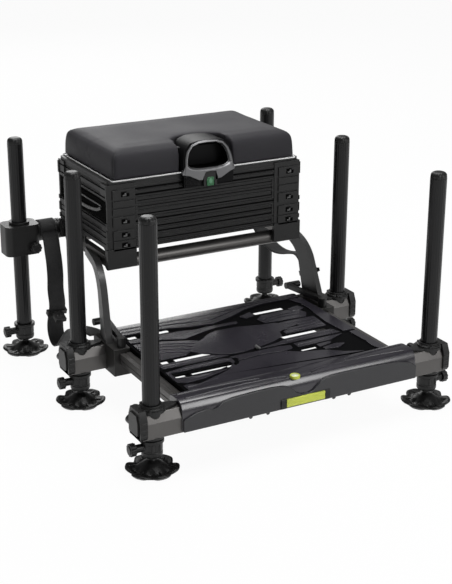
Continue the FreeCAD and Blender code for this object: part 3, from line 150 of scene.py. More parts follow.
def floor():
    """Pale floor that takes shadows and is seen as nearly white."""
    bm = bmesh.new()
    bmesh.ops.create_circle(bm, cap_ends=True, segments=64, radius=FLOOR_RADIUS)
    mesh = bpy.data.meshes.new("floor")
    bm.to_mesh(mesh)
    bm.free()
    material = bpy.data.materials.new("pale_floor")
    material.use_nodes = True
    tree = material.node_tree
    tree.nodes.clear()
    seen = any_ray(tree, "Is Camera Ray", "Is Glossy Ray", "Is Transmission Ray")
    mixed_surface(
        tree, math_node(tree, "MULTIPLY", seen, FLOOR_WHITE_SHARE),
        shade(tree, "ShaderNodeBsdfDiffuse", FLOOR_TONE),
        shade(tree, "ShaderNodeEmission", WHITE, 1.0), "ShaderNodeOutputMaterial",
    )
    mesh.materials.append(material)
    item = added("floor", mesh)


# ---- shader groups
def feed(tree, value, socket):
    """Link another node's socket in, or set a plain value."""
    if isinstance(value, bpy.types.NodeSocket):
        tree.links.new(value, socket)
    else:
        socket.default_value = value


def new_group(name, inputs, outputs):
    """Shader node group with named float inputs; outputs are floats, or vectors by name."""
    group = bpy.data.node_groups.new(name, "ShaderNodeTree")
    for label, amount in inputs.items():
        socket = group.interface.new_socket(
            name=label, in_out="INPUT", socket_type="NodeSocketFloat"
        )
        socket.default_value = amount
    for label in outputs:
        kind = "NodeSocketVector" if label == "Normal" else "NodeSocketFloat"
        group.interface.new_socket(name=label, in_out="OUTPUT", socket_type=kind)
    start, end = group.nodes.new("NodeGroupInput"), group.nodes.new("NodeGroupOutput")
    return group, start.outputs, end.inputs


def math_node(tree, operation, *values, clamp=False):
    node = tree.nodes.new("ShaderNodeMath")
    node.operation = operation
    node.use_clamp = clamp
    for value, socket in zip(values, node.inputs):
        feed(tree, value, socket)
    return node.outputs[0]


def noise_node(tree, vector, scale, detail=2.0, roughness=0.5):
    node = tree.nodes.new("ShaderNodeTexNoise")
    for label, value in (
        ("Vector", vector), ("Scale", scale), ("Detail", detail), ("Roughness", roughness)
    ):
        feed(tree, value, node.inputs[label])
    return node.outputs[0]


def place_on(tree, kind="Object"):
    return tree.nodes.new("ShaderNodeTexCoord").outputs[kind]


def moulded_grain():
    """Fine spark texture of moulded plastic or cast metal, with a slow drift of tone."""
    group, start, end = new_group(
        "moulded_grain", {"Scale": 900.0, "Drift scale": 9.0}, ("Height", "Drift")
    )
    place = place_on(group)
    group.links.new(noise_node(group, place, start["Scale"], 3.0, 0.6), end["Height"])
    group.links.new(noise_node(group, place, start["Drift scale"], 3.0, 0.55), end["Drift"])
    return group


def worn_edges():
    """Rounded normals at hard edges, and a broken mask along those edges."""
    group, start, end = new_group(
        "worn_edges", {"Radius": 0.0012, "Break scale": 140.0}, ("Normal", "Edge")
    )
    bevel = group.nodes.new("ShaderNodeBevel")
    bevel.samples = 4
    group.links.new(start["Radius"], bevel.inputs["Radius"])
    face = group.nodes.new("ShaderNodeNewGeometry")
    dot = group.nodes.new("ShaderNodeVectorMath")
    dot.operation = "DOT_PRODUCT"
    group.links.new(bevel.outputs["Normal"], dot.inputs[0])
    group.links.new(face.outputs["Normal"], dot.inputs[1])
    turned = math_node(group, "SUBTRACT", 1.0, dot.outputs["Value"], clamp=True)
    strong = math_node(group, "MULTIPLY", turned, 9.0, clamp=True)
    breaks = noise_node(group, place_on(group), start["Break scale"], 2.0, 0.7)
    group.links.new(bevel.outputs["Normal"], end["Normal"])
    group.links.new(math_node(group, "MULTIPLY", strong, breaks, clamp=True), end["Edge"])
    return group


def cloth_weave():
    """Plain weave in the piece's own UV map, in threads across and along."""
    group, start, end = new_group("cloth_weave", {"Threads": 900.0}, ("Height", "Drift"))
    uv = place_on(group, "UV")
    split = group.nodes.new("ShaderNodeSeparateXYZ")
    group.links.new(uv, split.inputs[0])
    waves = [
        math_node(
            group, "SINE", math_node(group, "MULTIPLY", split.outputs[axis], start["Threads"])
        )
        for axis in "XY"
    ]
    woven = math_node(group, "MULTIPLY", *waves)
    group.links.new(math_node(group, "MULTIPLY_ADD", woven, 0.5, 0.5), end["Height"])
    group.links.new(noise_node(group, uv, 60.0, 3.0, 0.6), end["Drift"])
    return group


def cover_grain():
    """Pebbled grain of coated fabric, on object coordinates."""
    group, start, end = new_group(
        "cover_grain", {"Scale": 420.0, "Drift scale": 7.0}, ("Height", "Drift")
    )
    place = place_on(group)
    cells = group.nodes.new("ShaderNodeTexVoronoi")
    group.links.new(place, cells.inputs["Vector"])
    group.links.new(start["Scale"], cells.inputs["Scale"])
    fine = noise_node(group, place, math_node(group, "MULTIPLY", start["Scale"], 3.0))
    group.links.new(math_node(group, "ADD", cells.outputs["Distance"], fine), end["Height"])
    group.links.new(noise_node(group, place, start["Drift scale"], 3.0, 0.5), end["Drift"])
    return group


GRAIN = moulded_grain()
EDGES = worn_edges()
WEAVE = cloth_weave()
COVER = cover_grain()


# ---- finishes
def placed_group(tree, group, **values):
    node = tree.nodes.new("ShaderNodeGroup")
    node.node_tree = group
    for label, amount in values.items():
        node.inputs[label].default_value = amount
    return node.outputs


def mixed_colour(tree, factor, first, second):
    node = tree.nodes.new("ShaderNodeMix")
    node.data_type = "RGBA"
    tree.links.new(factor, node.inputs["Factor"])
    for label, colour in (("A", first), ("B", second)):
        socket = next(s for s in node.inputs if s.name == label and s.type == "RGBA")
        feed(tree, (*colour, 1.0) if isinstance(colour, tuple) else colour, socket)
    return next(s for s in node.outputs if s.type == "RGBA")


def spread(tree, value, low, high):
    """Maps 0.3 to 0.7 of a noise onto two limits."""
    node = tree.nodes.new("ShaderNodeMapRange")
    tree.links.new(value, node.inputs["Value"])
    for label, limit in (("From Min", 0.3), ("From Max", 0.7), ("To Min", low), ("To Max", high)):
        node.inputs[label].default_value = limit
    return node.outputs["Result"]


def new_finish(name, colour, swing, rough, relief, settings, group, wear=None, radius=0.0, **values):
    """Material whose colour and roughness drift slowly, with a relief from a shader group.

    Swing is the share that the colour drifts by, rough holds the two limits of the roughness,
    relief holds a strength and a depth in metres, and wear is the colour of worn edges.
    """
    material = bpy.data.materials.new(name + "_finish")
    material.use_nodes = True
    tree = material.node_tree
    shader = tree.nodes["Principled BSDF"]
    for label, amount in settings.items():
        shader.inputs[label].default_value = amount
    surface = placed_group(tree, group, **values)
    low, high = (tuple(c * (1.0 + share) for c in colour) for share in (-swing, swing))
    tone = mixed_colour(tree, spread(tree, surface["Drift"], 0.0, 1.0), low, high)
    bump = tree.nodes.new("ShaderNodeBump")
    bump.inputs["Strength"].default_value, bump.inputs["Distance"].default_value = relief
    if wear:
        edges = placed_group(tree, EDGES, Radius=radius)
        tone = mixed_colour(tree, edges["Edge"], tone, wear)
        tree.links.new(edges["Normal"], bump.inputs["Normal"])
    tree.links.new(surface["Height"], bump.inputs["Height"])
    tree.links.new(tone, shader.inputs["Base Color"])
    tree.links.new(spread(tree, surface["Drift"], *rough), shader.inputs["Roughness"])
    tree.links.new(bump.outputs["Normal"], shader.inputs["Normal"])
    return material


def hard_finish(
    name, colour, rough, bump, wear, metallic=0.0, specular=0.5, coat=0.0, grain=900.0,
    radius=0.0012,
):
    """Plastic, rubber or metal with grain, drifting tone and worn edges."""
    settings = {
        "Metallic": metallic, "Specular IOR Level": specular, "Coat Weight": coat,
        "Coat Roughness": 0.12,
    }
    return new_finish(
        name, colour, 0.14, (rough - 0.05, rough + 0.05), (bump, 0.0004), settings, GRAIN, wear,
        radius, Scale=grain,
    )


def woven_finish(name, colour, threads=900.0):
    """Webbing and cord, woven in the piece's own UV map."""
    settings = {"Sheen Weight": 0.12, "Sheen Roughness": 0.5}
    return new_finish(
        name, colour, 0.3, (0.7, 0.85), (0.5, 0.0006), settings, WEAVE, Threads=threads
    )


def grey(level):
    return (level, level, level)


COATED_TUBE = hard_finish("coated_tube", (0.0075, 0.0075, 0.008), 0.3, 0.05, grey(0.04), 0.0, 0.28)
GUNMETAL = hard_finish("gunmetal", (0.105, 0.101, 0.098), 0.42, 0.06, (0.42, 0.41, 0.40), 0.75,
                       grain=600.0, radius=0.0016)
CAST = hard_finish("cast", (0.028, 0.027, 0.026), 0.46, 0.25, (0.14, 0.14, 0.135), 0.4, 0.35,
                   grain=420.0)
BLACK = hard_finish("black_plastic", grey(0.008), 0.42, 0.15, grey(0.05), 0.0, 0.35, grain=700.0)
BOX = hard_finish("box_plastic", grey(0.018), 0.45, 0.2, grey(0.06), 0.0, 0.28, grain=800.0)
DECK = hard_finish("deck_plastic", (0.020, 0.020, 0.0225), 0.34, 0.05, (0.08, 0.08, 0.085),
                   grain=1100.0)
GLOSS = hard_finish("gloss_black", (0.0045, 0.0045, 0.005), 0.45, 0.02, grey(0.05), 0.0, 0.09)
# Near-black copy of the deck plastic for the slotted skin between the pads: painted shade in the
# deck's recesses
DECK_SHADE = hard_finish("deck_painted_shade", (0.003, 0.003, 0.0034), 0.7, 0.1, grey(0.02), 0.0, 0.02)
PAD = hard_finish("deck_pad", (0.023, 0.021, 0.0275), 0.24, 0.03, (0.10, 0.10, 0.11), coat=0.4,
                  grain=1300.0)
ARM = hard_finish("arm", grey(0.050), 0.38, 0.05, grey(0.16), 0.2, grain=500.0)
# Near-black finish that hardly reflects: painted shade for the grab handle's pocket, the gaps between
# trays, the clip windows and the drawer hollows
SHADE_BLACK = hard_finish("painted_shade", grey(0.003), 0.8, 0.05, grey(0.006), 0.0, 0.02)
HOOK = hard_finish("hook", grey(0.10), 0.4, 0.05, grey(0.2))
VIAL = hard_finish("vial", (0.70, 0.76, 0.52), 0.15, 0.01, (0.8, 0.85, 0.6), coat=0.5)
LIME = hard_finish("lime", (0.55, 0.61, 0.07), 0.4, 0.05, (0.6, 0.65, 0.2))
GREEN = hard_finish("green", (0.012, 0.13, 0.04), 0.3, 0.03, (0.2, 0.6, 0.25))
SILVER = hard_finish("silver", (0.17, 0.17, 0.175), 0.34, 0.04, (0.45, 0.45, 0.46), 0.6)
STEEL = hard_finish("steel", (0.45, 0.45, 0.46), 0.3, 0.05, grey(0.7), 1.0)
LENS = hard_finish("lens", (0.06, 0.24, 0.11), 0.2, 0.01, (0.5, 0.8, 0.6), coat=0.5)
COVER_CLOTH = new_finish(
    "cushion_cover", (0.0235, 0.0225, 0.0265), 0.12, (0.56, 0.68), (0.25, 0.0005),
    {"Sheen Weight": 0.07, "Sheen Roughness": 0.45, "Specular IOR Level": 0.22}, COVER,
)
WEBBING = woven_finish("webbing", (0.006, 0.006, 0.0065))
SEAM = woven_finish("seam", (0.010, 0.010, 0.011), 3000.0)
PIPING = woven_finish("piping", grey(0.80), 2400.0)

SLOT_FINISH = {
    "coated_tube": COATED_TUBE, "gunmetal": GUNMETAL, "cast_metal": CAST, "black_plastic": BLACK,
    "box_plastic": BOX, "deck_plastic": DECK, "gloss_black": GLOSS, "cushion_cover": COVER_CLOTH,
    "lime_plastic": LIME, "green_plastic": GREEN, "webbing": WEBBING, "steel_pin": STEEL,
}
NODE_FINISH = {"side_arms": ARM, "rear_clamps": BLACK, "rail_guides": CAST}


def dress_nodes():
    """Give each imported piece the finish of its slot, or its own."""
    for part in frame["record"]["subparts"]:
        mesh = frame["nodes"][part["node"]].data
        material = NODE_FINISH.get(part["node"], SLOT_FINISH[part["material_slot"]])
        if not mesh.materials:
            mesh.materials.append(material)
        for i in range(len(mesh.materials)):
            mesh.materials[i] = material


# ---- shapes
AXIS_TURN = {
    "x": Matrix.Rotation(math.radians(90), 4, "Y"),
    "y": Matrix.Rotation(math.radians(-90), 4, "X"),
    "z": Matrix.Identity(4),
}
PLANES = {
    "XY": lambda u, v, w: (u, v, w),
    "XZ": lambda u, v, w: (u, w, v),
    "YZ": lambda u, v, w: (w, u, v),
}


def block(bm, x, y, z):
    """Box between two limits along each axis."""
    middle = [(low + high) / 2 for low, high in (x, y, z)]
    size = [high - low for low, high in (x, y, z)]
    matrix = Matrix.Translation(middle) @ Matrix.Diagonal((*size, 1.0))
    return bmesh.ops.create_cube(bm, size=1.0, matrix=matrix)["verts"]


def out_span(out, near, far):
    """Limits of a piece on one side, from its nearer and farther distance to the middle."""
    return sorted((out * near, out * far))


def rod(bm, axis, radius, span, centre, steps=32, end_radius=None):
    """Cylinder or cone along an axis between two limits; centre holds the other two places."""
    middle = list(centre)
    middle.insert("xyz".index(axis), (span[0] + span[1]) / 2)
    return bmesh.ops.create_cone(
        bm, cap_ends=True, segments=steps, radius1=radius,
        radius2=radius if end_radius is None else end_radius, depth=span[1] - span[0],
        matrix=Matrix.Translation(middle) @ AXIS_TURN[axis],
    )["verts"]


def thicken(bm, faces, vector):
    """Extrude faces into a closed solid and return all its verts."""
    base = list({vert for face in faces for vert in face.verts})
    grown = bmesh.ops.extrude_face_region(bm, geom=faces, use_keep_orig=True)
    top = [item for item in grown["geom"] if isinstance(item, bmesh.types.BMVert)]
    bmesh.ops.translate(bm, vec=vector, verts=top)
    verts = base + top
    linked = {face for vert in verts for face in vert.link_faces}
    bmesh.ops.recalc_face_normals(bm, faces=list(linked))
    return verts


def rounded(bm, face, others, radius, segments):
    """Round the corners of a flat face, and return the face that replaces it."""
    bmesh.ops.bevel(
        bm, geom=list(face.verts), offset=radius, segments=segments, profile=0.5,
        affect="VERTICES", material=-1,
    )
    return next(item for item in bm.faces if item not in others)


def outline(bm, plane, points, low, high, corner=0.0):
    """Polygon on a plane, with rounded corners, extruded between two limits."""
    at = PLANES[plane]
    others = set(bm.faces)
    face = bm.faces.new([bm.verts.new(at(u, v, low)) for u, v in points])
    if corner:
        face = rounded(bm, face, others, corner, 3)
    return thicken(bm, [face], Vector(at(0.0, 0.0, high - low)))


def pierced(bm, plane, loops, low, high):
    """Outline with holes, filled and extruded between two limits."""
    at = PLANES[plane]
    edges = []
    for points in loops:
        verts = [bm.verts.new(at(u, v, low)) for u, v in points]
        edges += [bm.edges.new((verts[i - 1], verts[i])) for i in range(len(verts))]
    filled = bmesh.ops.triangle_fill(bm, use_beauty=True, use_dissolve=False, edges=edges)
    faces = [item for item in filled["geom"] if isinstance(item, bmesh.types.BMFace)]
    return thicken(bm, faces, Vector(at(0.0, 0.0, high - low)))


def arc(centre, radius, start, end, steps):
    """Points along a round arc between two angles in degrees, both ends counted."""
    turns = [math.radians(start + (end - start) * i / steps) for i in range(steps + 1)]
    return [(centre[0] + radius * math.cos(turn), centre[1] + radius * math.sin(turn))
            for turn in turns]


def rectangle(x, z):
    return [(x[0], z[0]), (x[1], z[0]), (x[1], z[1]), (x[0], z[1])]


def rounded_rectangle(x, z, radius, steps=6):
    """Points of a rectangle with round corners, anticlockwise."""
    points = []
    for cx, cz, start in (
        (x[1] - radius, z[0] + radius, -90), (x[1] - radius, z[1] - radius, 0),
        (x[0] + radius, z[1] - radius, 90), (x[0] + radius, z[0] + radius, 180),
    ):
        points += arc((cx, cz), radius, start, start + 90, steps)
    return points


def at_place(points, u, v):
    return [(u + du, v + dv) for du, dv in points]


def closed_half(points):
    """Outline from its right half, with the half's mirror image on the left."""
    return points + [(-x, z) for x, z in points[::-1] if x]


def lathe(bm, points, centre=(0.0, 0.0), steps=48):
    """Profile of radius and height turned about an upright line."""
    verts = [bm.verts.new((centre[0] + r, centre[1], z)) for r, z in points]
    edges = [bm.edges.new((verts[i], verts[i + 1])) for i in range(len(verts) - 1)]
    bmesh.ops.spin(
        bm, geom=verts + edges, axis=(0.0, 0.0, 1.0), cent=(centre[0], centre[1], 0.0),
        angle=math.tau, steps=steps, use_merge=True,
    )
    grow = [vert for vert in verts if vert.is_valid]
    linked = set(grow)
    while grow:
        vert = grow.pop()
        for edge in vert.link_edges:
            other = edge.other_vert(vert)
            if other not in linked:
                linked.add(other)
                grow.append(other)
    bmesh.ops.remove_doubles(bm, verts=list(linked), dist=0.001)
    linked = [vert for vert in linked if vert.is_valid]
    faces = list({face for vert in linked for face in vert.link_faces})
    bmesh.ops.recalc_face_normals(bm, faces=faces)
    return linked


def ring_outline(count, inner, outer, lobes, sharp=1.0):
    """Closed polar outline that waves between two radii."""
    points = []
    for i in range(count):
        turn = math.tau * i / count
        wave = (0.5 + 0.5 * math.cos(lobes * turn)) ** sharp
        radius = inner + (outer - inner) * wave
        points.append((radius * math.cos(turn), radius * math.sin(turn)))
    return points


def moved(bm, verts, matrix):
    bmesh.ops.transform(bm, matrix=matrix, verts=verts)


def shifted(bm, *place):
    moved(bm, bm.verts[:], Matrix.Translation(place))


def placed_mesh(bm, name):
    """Object in the frame from a mesh in millimetres."""
    moved(bm, bm.verts[:], TO_FRAME)
    mesh = bpy.data.meshes.new(name)
    bm.to_mesh(mesh)
    bm.free()
    return added(name, mesh)


def finished(bm, name, body, material, replaces=(), bevel=0.0, segments=2, angle=32):
    """Piece from a mesh in millimetres, with its finish and rounded edges, on its body."""
    item = placed_mesh(bm, name)
    item.data.materials.append(material)
    item.data.shade_smooth()
    if bevel:
        edge = item.modifiers.new("rounded_edges", "BEVEL")
        edge.width = bevel * MM
        edge.segments = segments
        edge.limit_method = "ANGLE"
        edge.angle_limit = math.radians(angle)
        edge.harden_normals = True
    else:
        item.data.set_sharp_from_angle(angle=math.radians(angle))
    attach(item, body)
    if replaces:
        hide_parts(*replaces)
    return item


# ---- legs
TUBE_WAVE = (120, 17.5, 18, 20, 0.6)
KNOB_WAVE = (80, 12.2, 13.7, 10, 0.7)
WHEEL_WAVE = (96, 25.5, 33, 6, 0.8)
KNUCKLE_HEIGHT = 62.0
WHEEL_HEIGHT = 104.0
PINCH_HEIGHT = 277.0
CAP_SHOULDER = 531.0
CAP_FLUTES = 10
FLUTE_DEPTH = 0.06
PETALS = 6
PETAL_RISE = 3.2
HUB_RADIUS = 24.0
PETAL_TOP = 24.0
SOLE_TOP = 8.5
NOTCH_DEPTH = 0.16
NOTCH_FALL = 1.2
BEAM_MIDDLE = 119.0
BEAM_END = [(24, -31), (29, -23), (29, 11), (20, 31)]
BEAM_CREST = 0.72


def black_piece(bm, name, body, nodes=(), bevel=0, segments=2, angle=32):
    finished(bm, name, body, BLACK, nodes, bevel, segments, angle)


def small_knob(bm, base, turn):
    """Fluted knob with a low dome, that stands on a height and is turned to its axis."""
    wheel = outline(bm, "XY", ring_outline(*KNOB_WAVE), base, base + 12)
    dome = rod(bm, "z", 10.5, (base + 12, base + 14), (0, 0), 30, 8.5)
    moved(bm, wheel + dome, turn)


def leg_pieces(name, x, y, out):
    """Fluted tube, ribbed end cap, knuckle and knuckle knob of one leg."""
    leg = "leg_" + name
    bm = bmesh.new()
    outline(bm, "XY", ring_outline(*TUBE_WAVE), 50.5, 526.4)
    shifted(bm, x, y, 0)
    finished(bm, "tube_" + name, leg, COATED_TUBE, ("leg_tube_" + name,))

    bm = bmesh.new()
    profile = [(0, 508), (15.8, 508), (15.8, 526.8), (17.7, 526.8), (17.7, CAP_SHOULDER)]
    profile += arc((8.7, CAP_SHOULDER), 9, 15, 90, 5) + [(0, CAP_SHOULDER + 9)]
    for vert in lathe(bm, profile, (x, y), 60):
        turn = math.atan2(vert.co.y - y, vert.co.x - x)
        beside_top = CAP_SHOULDER - 1.0 < vert.co.z < CAP_SHOULDER + 8.0
        if beside_top and math.cos(CAP_FLUTES * turn) > 0.5:
            vert.co.x += (x - vert.co.x) * FLUTE_DEPTH
            vert.co.y += (y - vert.co.y) * FLUTE_DEPTH
    black_piece(bm, "cap_" + name, leg)

    bm = bmesh.new()
    lathe(bm, [
        (0, 58), (0, 57), (13.6, 57), (13.6, 40), (17.5, 40), (20.5, 41.5),
        (22, 45), (22, 52), (21.2, 53), (21.2, 55.5), (22, 56.5), (22, 70),
        (22.8, 72), (25, 72.8), (25, 79), (24, 80), (18.06, 80), (18.06, 58),
    ], (x, y))
    rod(bm, "x", 8.5, sorted((x + out * 19, x + out * 37)), (y, KNUCKLE_HEIGHT), 24)
    for turn in (70, 250):
        for centre in arc((x, y), 22.5, turn, turn + 40, 1):
            rod(bm, "z", 2.4, (56.5, 72), centre, 10)
    black_piece(bm, "knuckle_" + name, leg, ("leg_knuckle_" + name,), 0.5)

    bm = bmesh.new()
    small_knob(bm, 38, AXIS_TURN["x"])
    moved(bm, rod(bm, "z", 7, (37.3, 38), (0, 0), 20), AXIS_TURN["x"])
    if out < 0:
        moved(bm, bm.verts[:], Matrix.Rotation(math.pi, 4, "Z"))
    shifted(bm, x, y, KNUCKLE_HEIGHT)
    knob = "foot_knob_" + name
    black_piece(bm, "foot_screw_" + name, knob, (knob,), 0.8)


def foot_piece(name, x, y):
    """Mud foot: raised petals round a hub, a rib along each and a notch between each two."""
    bm = bmesh.new()
    profile = [
        (0, 8), (30, 8), (50, 8), (54, 9), (55.5, 11), (55, 13),
        (52.5, 14.2), (49, 13.6), (44, 11.8), (38, 12), (33, 14.5), (29, 18),
        (25.5, 20.5), (22, 22.5), (18, 26), (14.5, 28.5), (9.5, 30.5), (7.2, 33),
        (7, 36),
    ]
    profile += arc((0, 46), 13, -58, 90, 6)
    profile[-1] = (0, 59)
    for vert in lathe(bm, profile, steps=90):
        reach = math.hypot(vert.co.x, vert.co.y)
        if reach < HUB_RADIUS or vert.co.z > PETAL_TOP:
            continue
        turn = math.atan2(vert.co.y, vert.co.x)
        notch = (0.5 + 0.5 * math.cos(PETALS * turn)) ** 3
        share = min((reach - HUB_RADIUS) / HUB_RADIUS, 1)
        pull = 1.0 - NOTCH_DEPTH * notch * share
        vert.co.x *= pull
        vert.co.y *= pull
        if vert.co.z > SOLE_TOP:
            vert.co.z += (PETAL_RISE * (1.0 - notch) - NOTCH_FALL * notch) * share
    for i in range(PETALS):
        rib = block(bm, (20, 52), (-1.5, 1.5), (9, 16.5))
        moved(bm, rib, Matrix.Rotation(math.tau * (i + 0.5) / PETALS, 4, "Z"))
    shifted(bm, x, y, 0)
    foot = "foot_" + name
    black_piece(bm, "mud_foot_" + name, foot, (foot,), 0.5, angle=50)


def clamp_wheel(name, x, y):
    """Six-lobed clamping knob behind a front or middle leg."""
    bm = bmesh.new()
    outline(bm, "XY", ring_outline(*WHEEL_WAVE), 31, 55)
    rod(bm, "z", 15, (55, 60), (0, 0), 32, 12.5)
    rod(bm, "z", 4, (22.3, 31), (0, 0), 16)
    moved(bm, bm.verts[:], AXIS_TURN["y"])
    shifted(bm, x, y, WHEEL_HEIGHT)
    knob = "clamp_knob_" + name
    black_piece(bm, "clamp_wheel_" + name, knob, (knob,), 2.2, 3)


def pinch_wheel(name, x, y):
    """Fluted knob in front of a rear clamp."""
    bm = bmesh.new()
    small_knob(bm, 31.3, Matrix.Rotation(math.pi, 4, "Z") @ AXIS_TURN["y"])
    shifted(bm, x, y, PINCH_HEIGHT)
    knob = "clamp_knob_" + name
    black_piece(bm, "pinch_wheel_" + name, knob, (knob,), 0.8)


def beam_ends(row, body):
    """Black end cap with ribs, and a black collar round the leg, at both ends of a beam."""
    middle = ROWS[row]
    bm = bmesh.new()
    for out in SIDES.values():
        for share, span in ((1, (361, 377)), (BEAM_CREST, (376, 380.5))):
            shape = [(y * share, z * share) for y, z in closed_half(BEAM_END)]
            outline(bm, "YZ", at_place(shape, middle, BEAM_MIDDLE), *out_span(out, *span))
        for z in (100, 112, 124):
            block(bm, out_span(out, 362, 376), (middle - 30.2, middle + 30.2), (z, z + 4))
        leg = (out * LEG_SPREAD, middle)
        lathe(bm, [(18.4, 139), (26, 139), (26.5, 143), (26, 149), (22.5, 151),
                   (22, 155), (18.4, 155), (18.4, 139)], leg, 40)
        for centre in arc(leg, 25, 0, 300, 5):
            rod(bm, "z", 3.2, (139, 151.5), centre, 10)
    black_piece(bm, "beam_ends_" + row, body, bevel=0.9)


# ---- cushion
CUSHION_BASE = 493.8
CUSHION_TOP = 561.0
CUSHION_HALF = 233.0
CUSHION_DEPTH = (34, 318)
CUSHION_LEVELS = [
    (0.12, 0.4), (0.35, 1), (0.55, 1.8), (0.70, 3.2), (0.79, 5.4), (0.86, 9), (0.92, 15),
    (0.965, 26), (1, 56),
]
HANDLE_NOTCH = [(70, 0), (70, 30), (66, 60), (62, 92), (42, 107), (16, 113)]
MESH_STEP = 0.005
CLOTH_PRESSURE = 4.0
CLOTH_STEPS = 15
PUFF_LIMIT = 0.0012
SEAM_POINTS = 15
SEAM_STEP = 4.1


def cushion_form(shrink):
    """Crowned block with drawn-in sides, built up level by level."""
    half = CUSHION_HALF - shrink
    low, high = CUSHION_DEPTH[0] + shrink, CUSHION_DEPTH[1] - shrink
    middle, depth = (low + high) / 2, (high - low) / 2
    height = CUSHION_TOP - CUSHION_BASE - shrink
    bm = bmesh.new()
    corners = rectangle((-half, half), (low, high))
    face = bm.faces.new([bm.verts.new((x, y, CUSHION_BASE)) for x, y in corners])
    face = rounded(bm, face, (), 9, 5)
    before = 0.0
    for share, inset in CUSHION_LEVELS:
        grown = bmesh.ops.extrude_face_region(bm, geom=[face], use_keep_orig=not before)
        face = next(item for item in grown["geom"] if isinstance(item, bmesh.types.BMFace))
        for vert in face.verts:
            vert.co.x = vert.co.x / (half - before) * (half - inset)
            vert.co.y = middle + (vert.co.y - middle) / (depth - before) * (depth - inset)
            vert.co.z = CUSHION_BASE + height * share
        before = inset
    bmesh.ops.triangulate(bm, faces=[item for item in bm.faces if len(item.verts) > 4])
    bmesh.ops.recalc_face_normals(bm, faces=bm.faces[:])
    return bm


def sculpted_cushion(name, shrink):
    """Even mesh of the cushion, with the notch for the grab handle cut out."""
    item = placed_mesh(cushion_form(shrink), name)
    bm = bmesh.new()
    outline(bm, "XY", closed_half(HANDLE_NOTCH)[::-1], CUSHION_BASE - 5, CUSHION_TOP + 20)
    cutter = placed_mesh(bm, name + "_notch")
    trim = item.modifiers.new("notch", "BOOLEAN")
    trim.object = cutter
    trim.operation = "DIFFERENCE"
    remesh = item.modifiers.new("even_mesh", "REMESH")
    remesh.mode = "VOXEL"
    remesh.voxel_size = MESH_STEP
    applied(item)
    bpy.data.objects.remove(cutter)
    return item


def mesh_of(item):
    """Mesh that an object comes to with its modifiers."""
    bpy.context.view_layer.update()
    graph = bpy.context.evaluated_depsgraph_get()
    return bpy.data.meshes.new_from_object(item.evaluated_get(graph))


def applied(item):
    """Replace an object's mesh by what its modifiers make of it."""
    mesh, old = mesh_of(item), item.data
    item.modifiers.clear()
    item.data = mesh
    bpy.data.meshes.remove(old)


def puff(item):
    """Blow the cover out a little with cloth pressure, no further than the limit in metres."""
    rest = [vert.co.copy() for vert in item.data.vertices]
    cloth = item.modifiers.new("cloth", "CLOTH")
    cloth.settings.use_pressure = True
    cloth.settings.uniform_pressure_force = CLOTH_PRESSURE
    cloth.settings.effector_weights.gravity = 0.0
    cloth.settings.quality = 5
    for step in range(1, CLOTH_STEPS + 1):
        scene.frame_set(step)
    applied(item)
    for vert, start in zip(item.data.vertices, rest):
        move = vert.co - start
        if move.length > PUFF_LIMIT:
            vert.co = start + move * (PUFF_LIMIT / move.length)
    scene.frame_set(1)


def seat_cushion():
    item = sculpted_cushion("cushion", 1)
    puff(item)
    item.data.materials.clear()
    item.data.materials.append(COVER_CLOTH)
    item.data.shade_smooth()
    rounder = item.modifiers.new("smooth", "SUBSURF")
    rounder.levels = 1
    rounder.render_levels = 1
    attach(item, "seat")
    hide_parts("seat_cushion")
    return item


def cord(name, points, radius, material):
    """Round cord along corners on the cushion, as a mesh with its own UV map."""
    curve = bpy.data.curves.new(name, "CURVE")
    curve.dimensions = "3D"
    curve.bevel_depth = radius * MM
    curve.bevel_resolution = 3
    curve.use_fill_caps = True
    line = curve.splines.new("POLY")
    line.points.add(len(points) - 1)
    for point, place in zip(line.points, points):
        point.co = (*(TO_FRAME @ Vector(place)), 1)
    line.use_smooth = True
    holder = added(name + "_line", curve)
    mesh = mesh_of(holder)
    bpy.data.objects.remove(holder)
    mesh.name = name
    mesh.materials.clear()
    mesh.materials.append(material)
    mesh.shade_smooth()
    item = added(name, mesh)
    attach(item, "seat")


def cushion_seams(cushion):
    """Stitched welt up each corner of the cushion, laid on its surface."""
    tree = BVHTree.FromObject(cushion, bpy.context.evaluated_depsgraph_get())
    middle = sum(CUSHION_DEPTH) / 2
    for side, out in SIDES.items():
        for end, back in (("front", -1), ("back", 1)):
            inward = Vector((-out, -back, 0)).normalized()
            points = []
            for step in range(SEAM_POINTS):
                corner = Vector((
                    out * CUSHION_HALF, middle + back * (CUSHION_DEPTH[1] - middle),
                    CUSHION_BASE + 2.0 + step * SEAM_STEP,
                ))
                hit = tree.ray_cast(TO_FRAME @ (corner - inward * 40), inward)[0]
                if hit:
                    points.append(TO_FRAME.inverted() @ hit)
            cord("seam_%s_%s" % (side, end), points, 0.9, SEAM)


def cushion_piping():
    """White cord sewn round the foot of the cushion, open at the grab handle."""
    half, low, high = CUSHION_HALF + 0.5, CUSHION_DEPTH[0] - 1, CUSHION_DEPTH[1] + 0.5
    right = [
        (half - 5, high), (half - 1.5, high - 1.5), (half, high - 5), (half, low + 5),
        (half - 1.5, low + 1.5), (half - 5, low), (66, low + 0.5),
    ]
    left = [(-x, y) for x, y in right[::-1]]
    cord("cushion_piping", [(x, y, 494.6) for x, y in left + right], 1.5, PIPING)


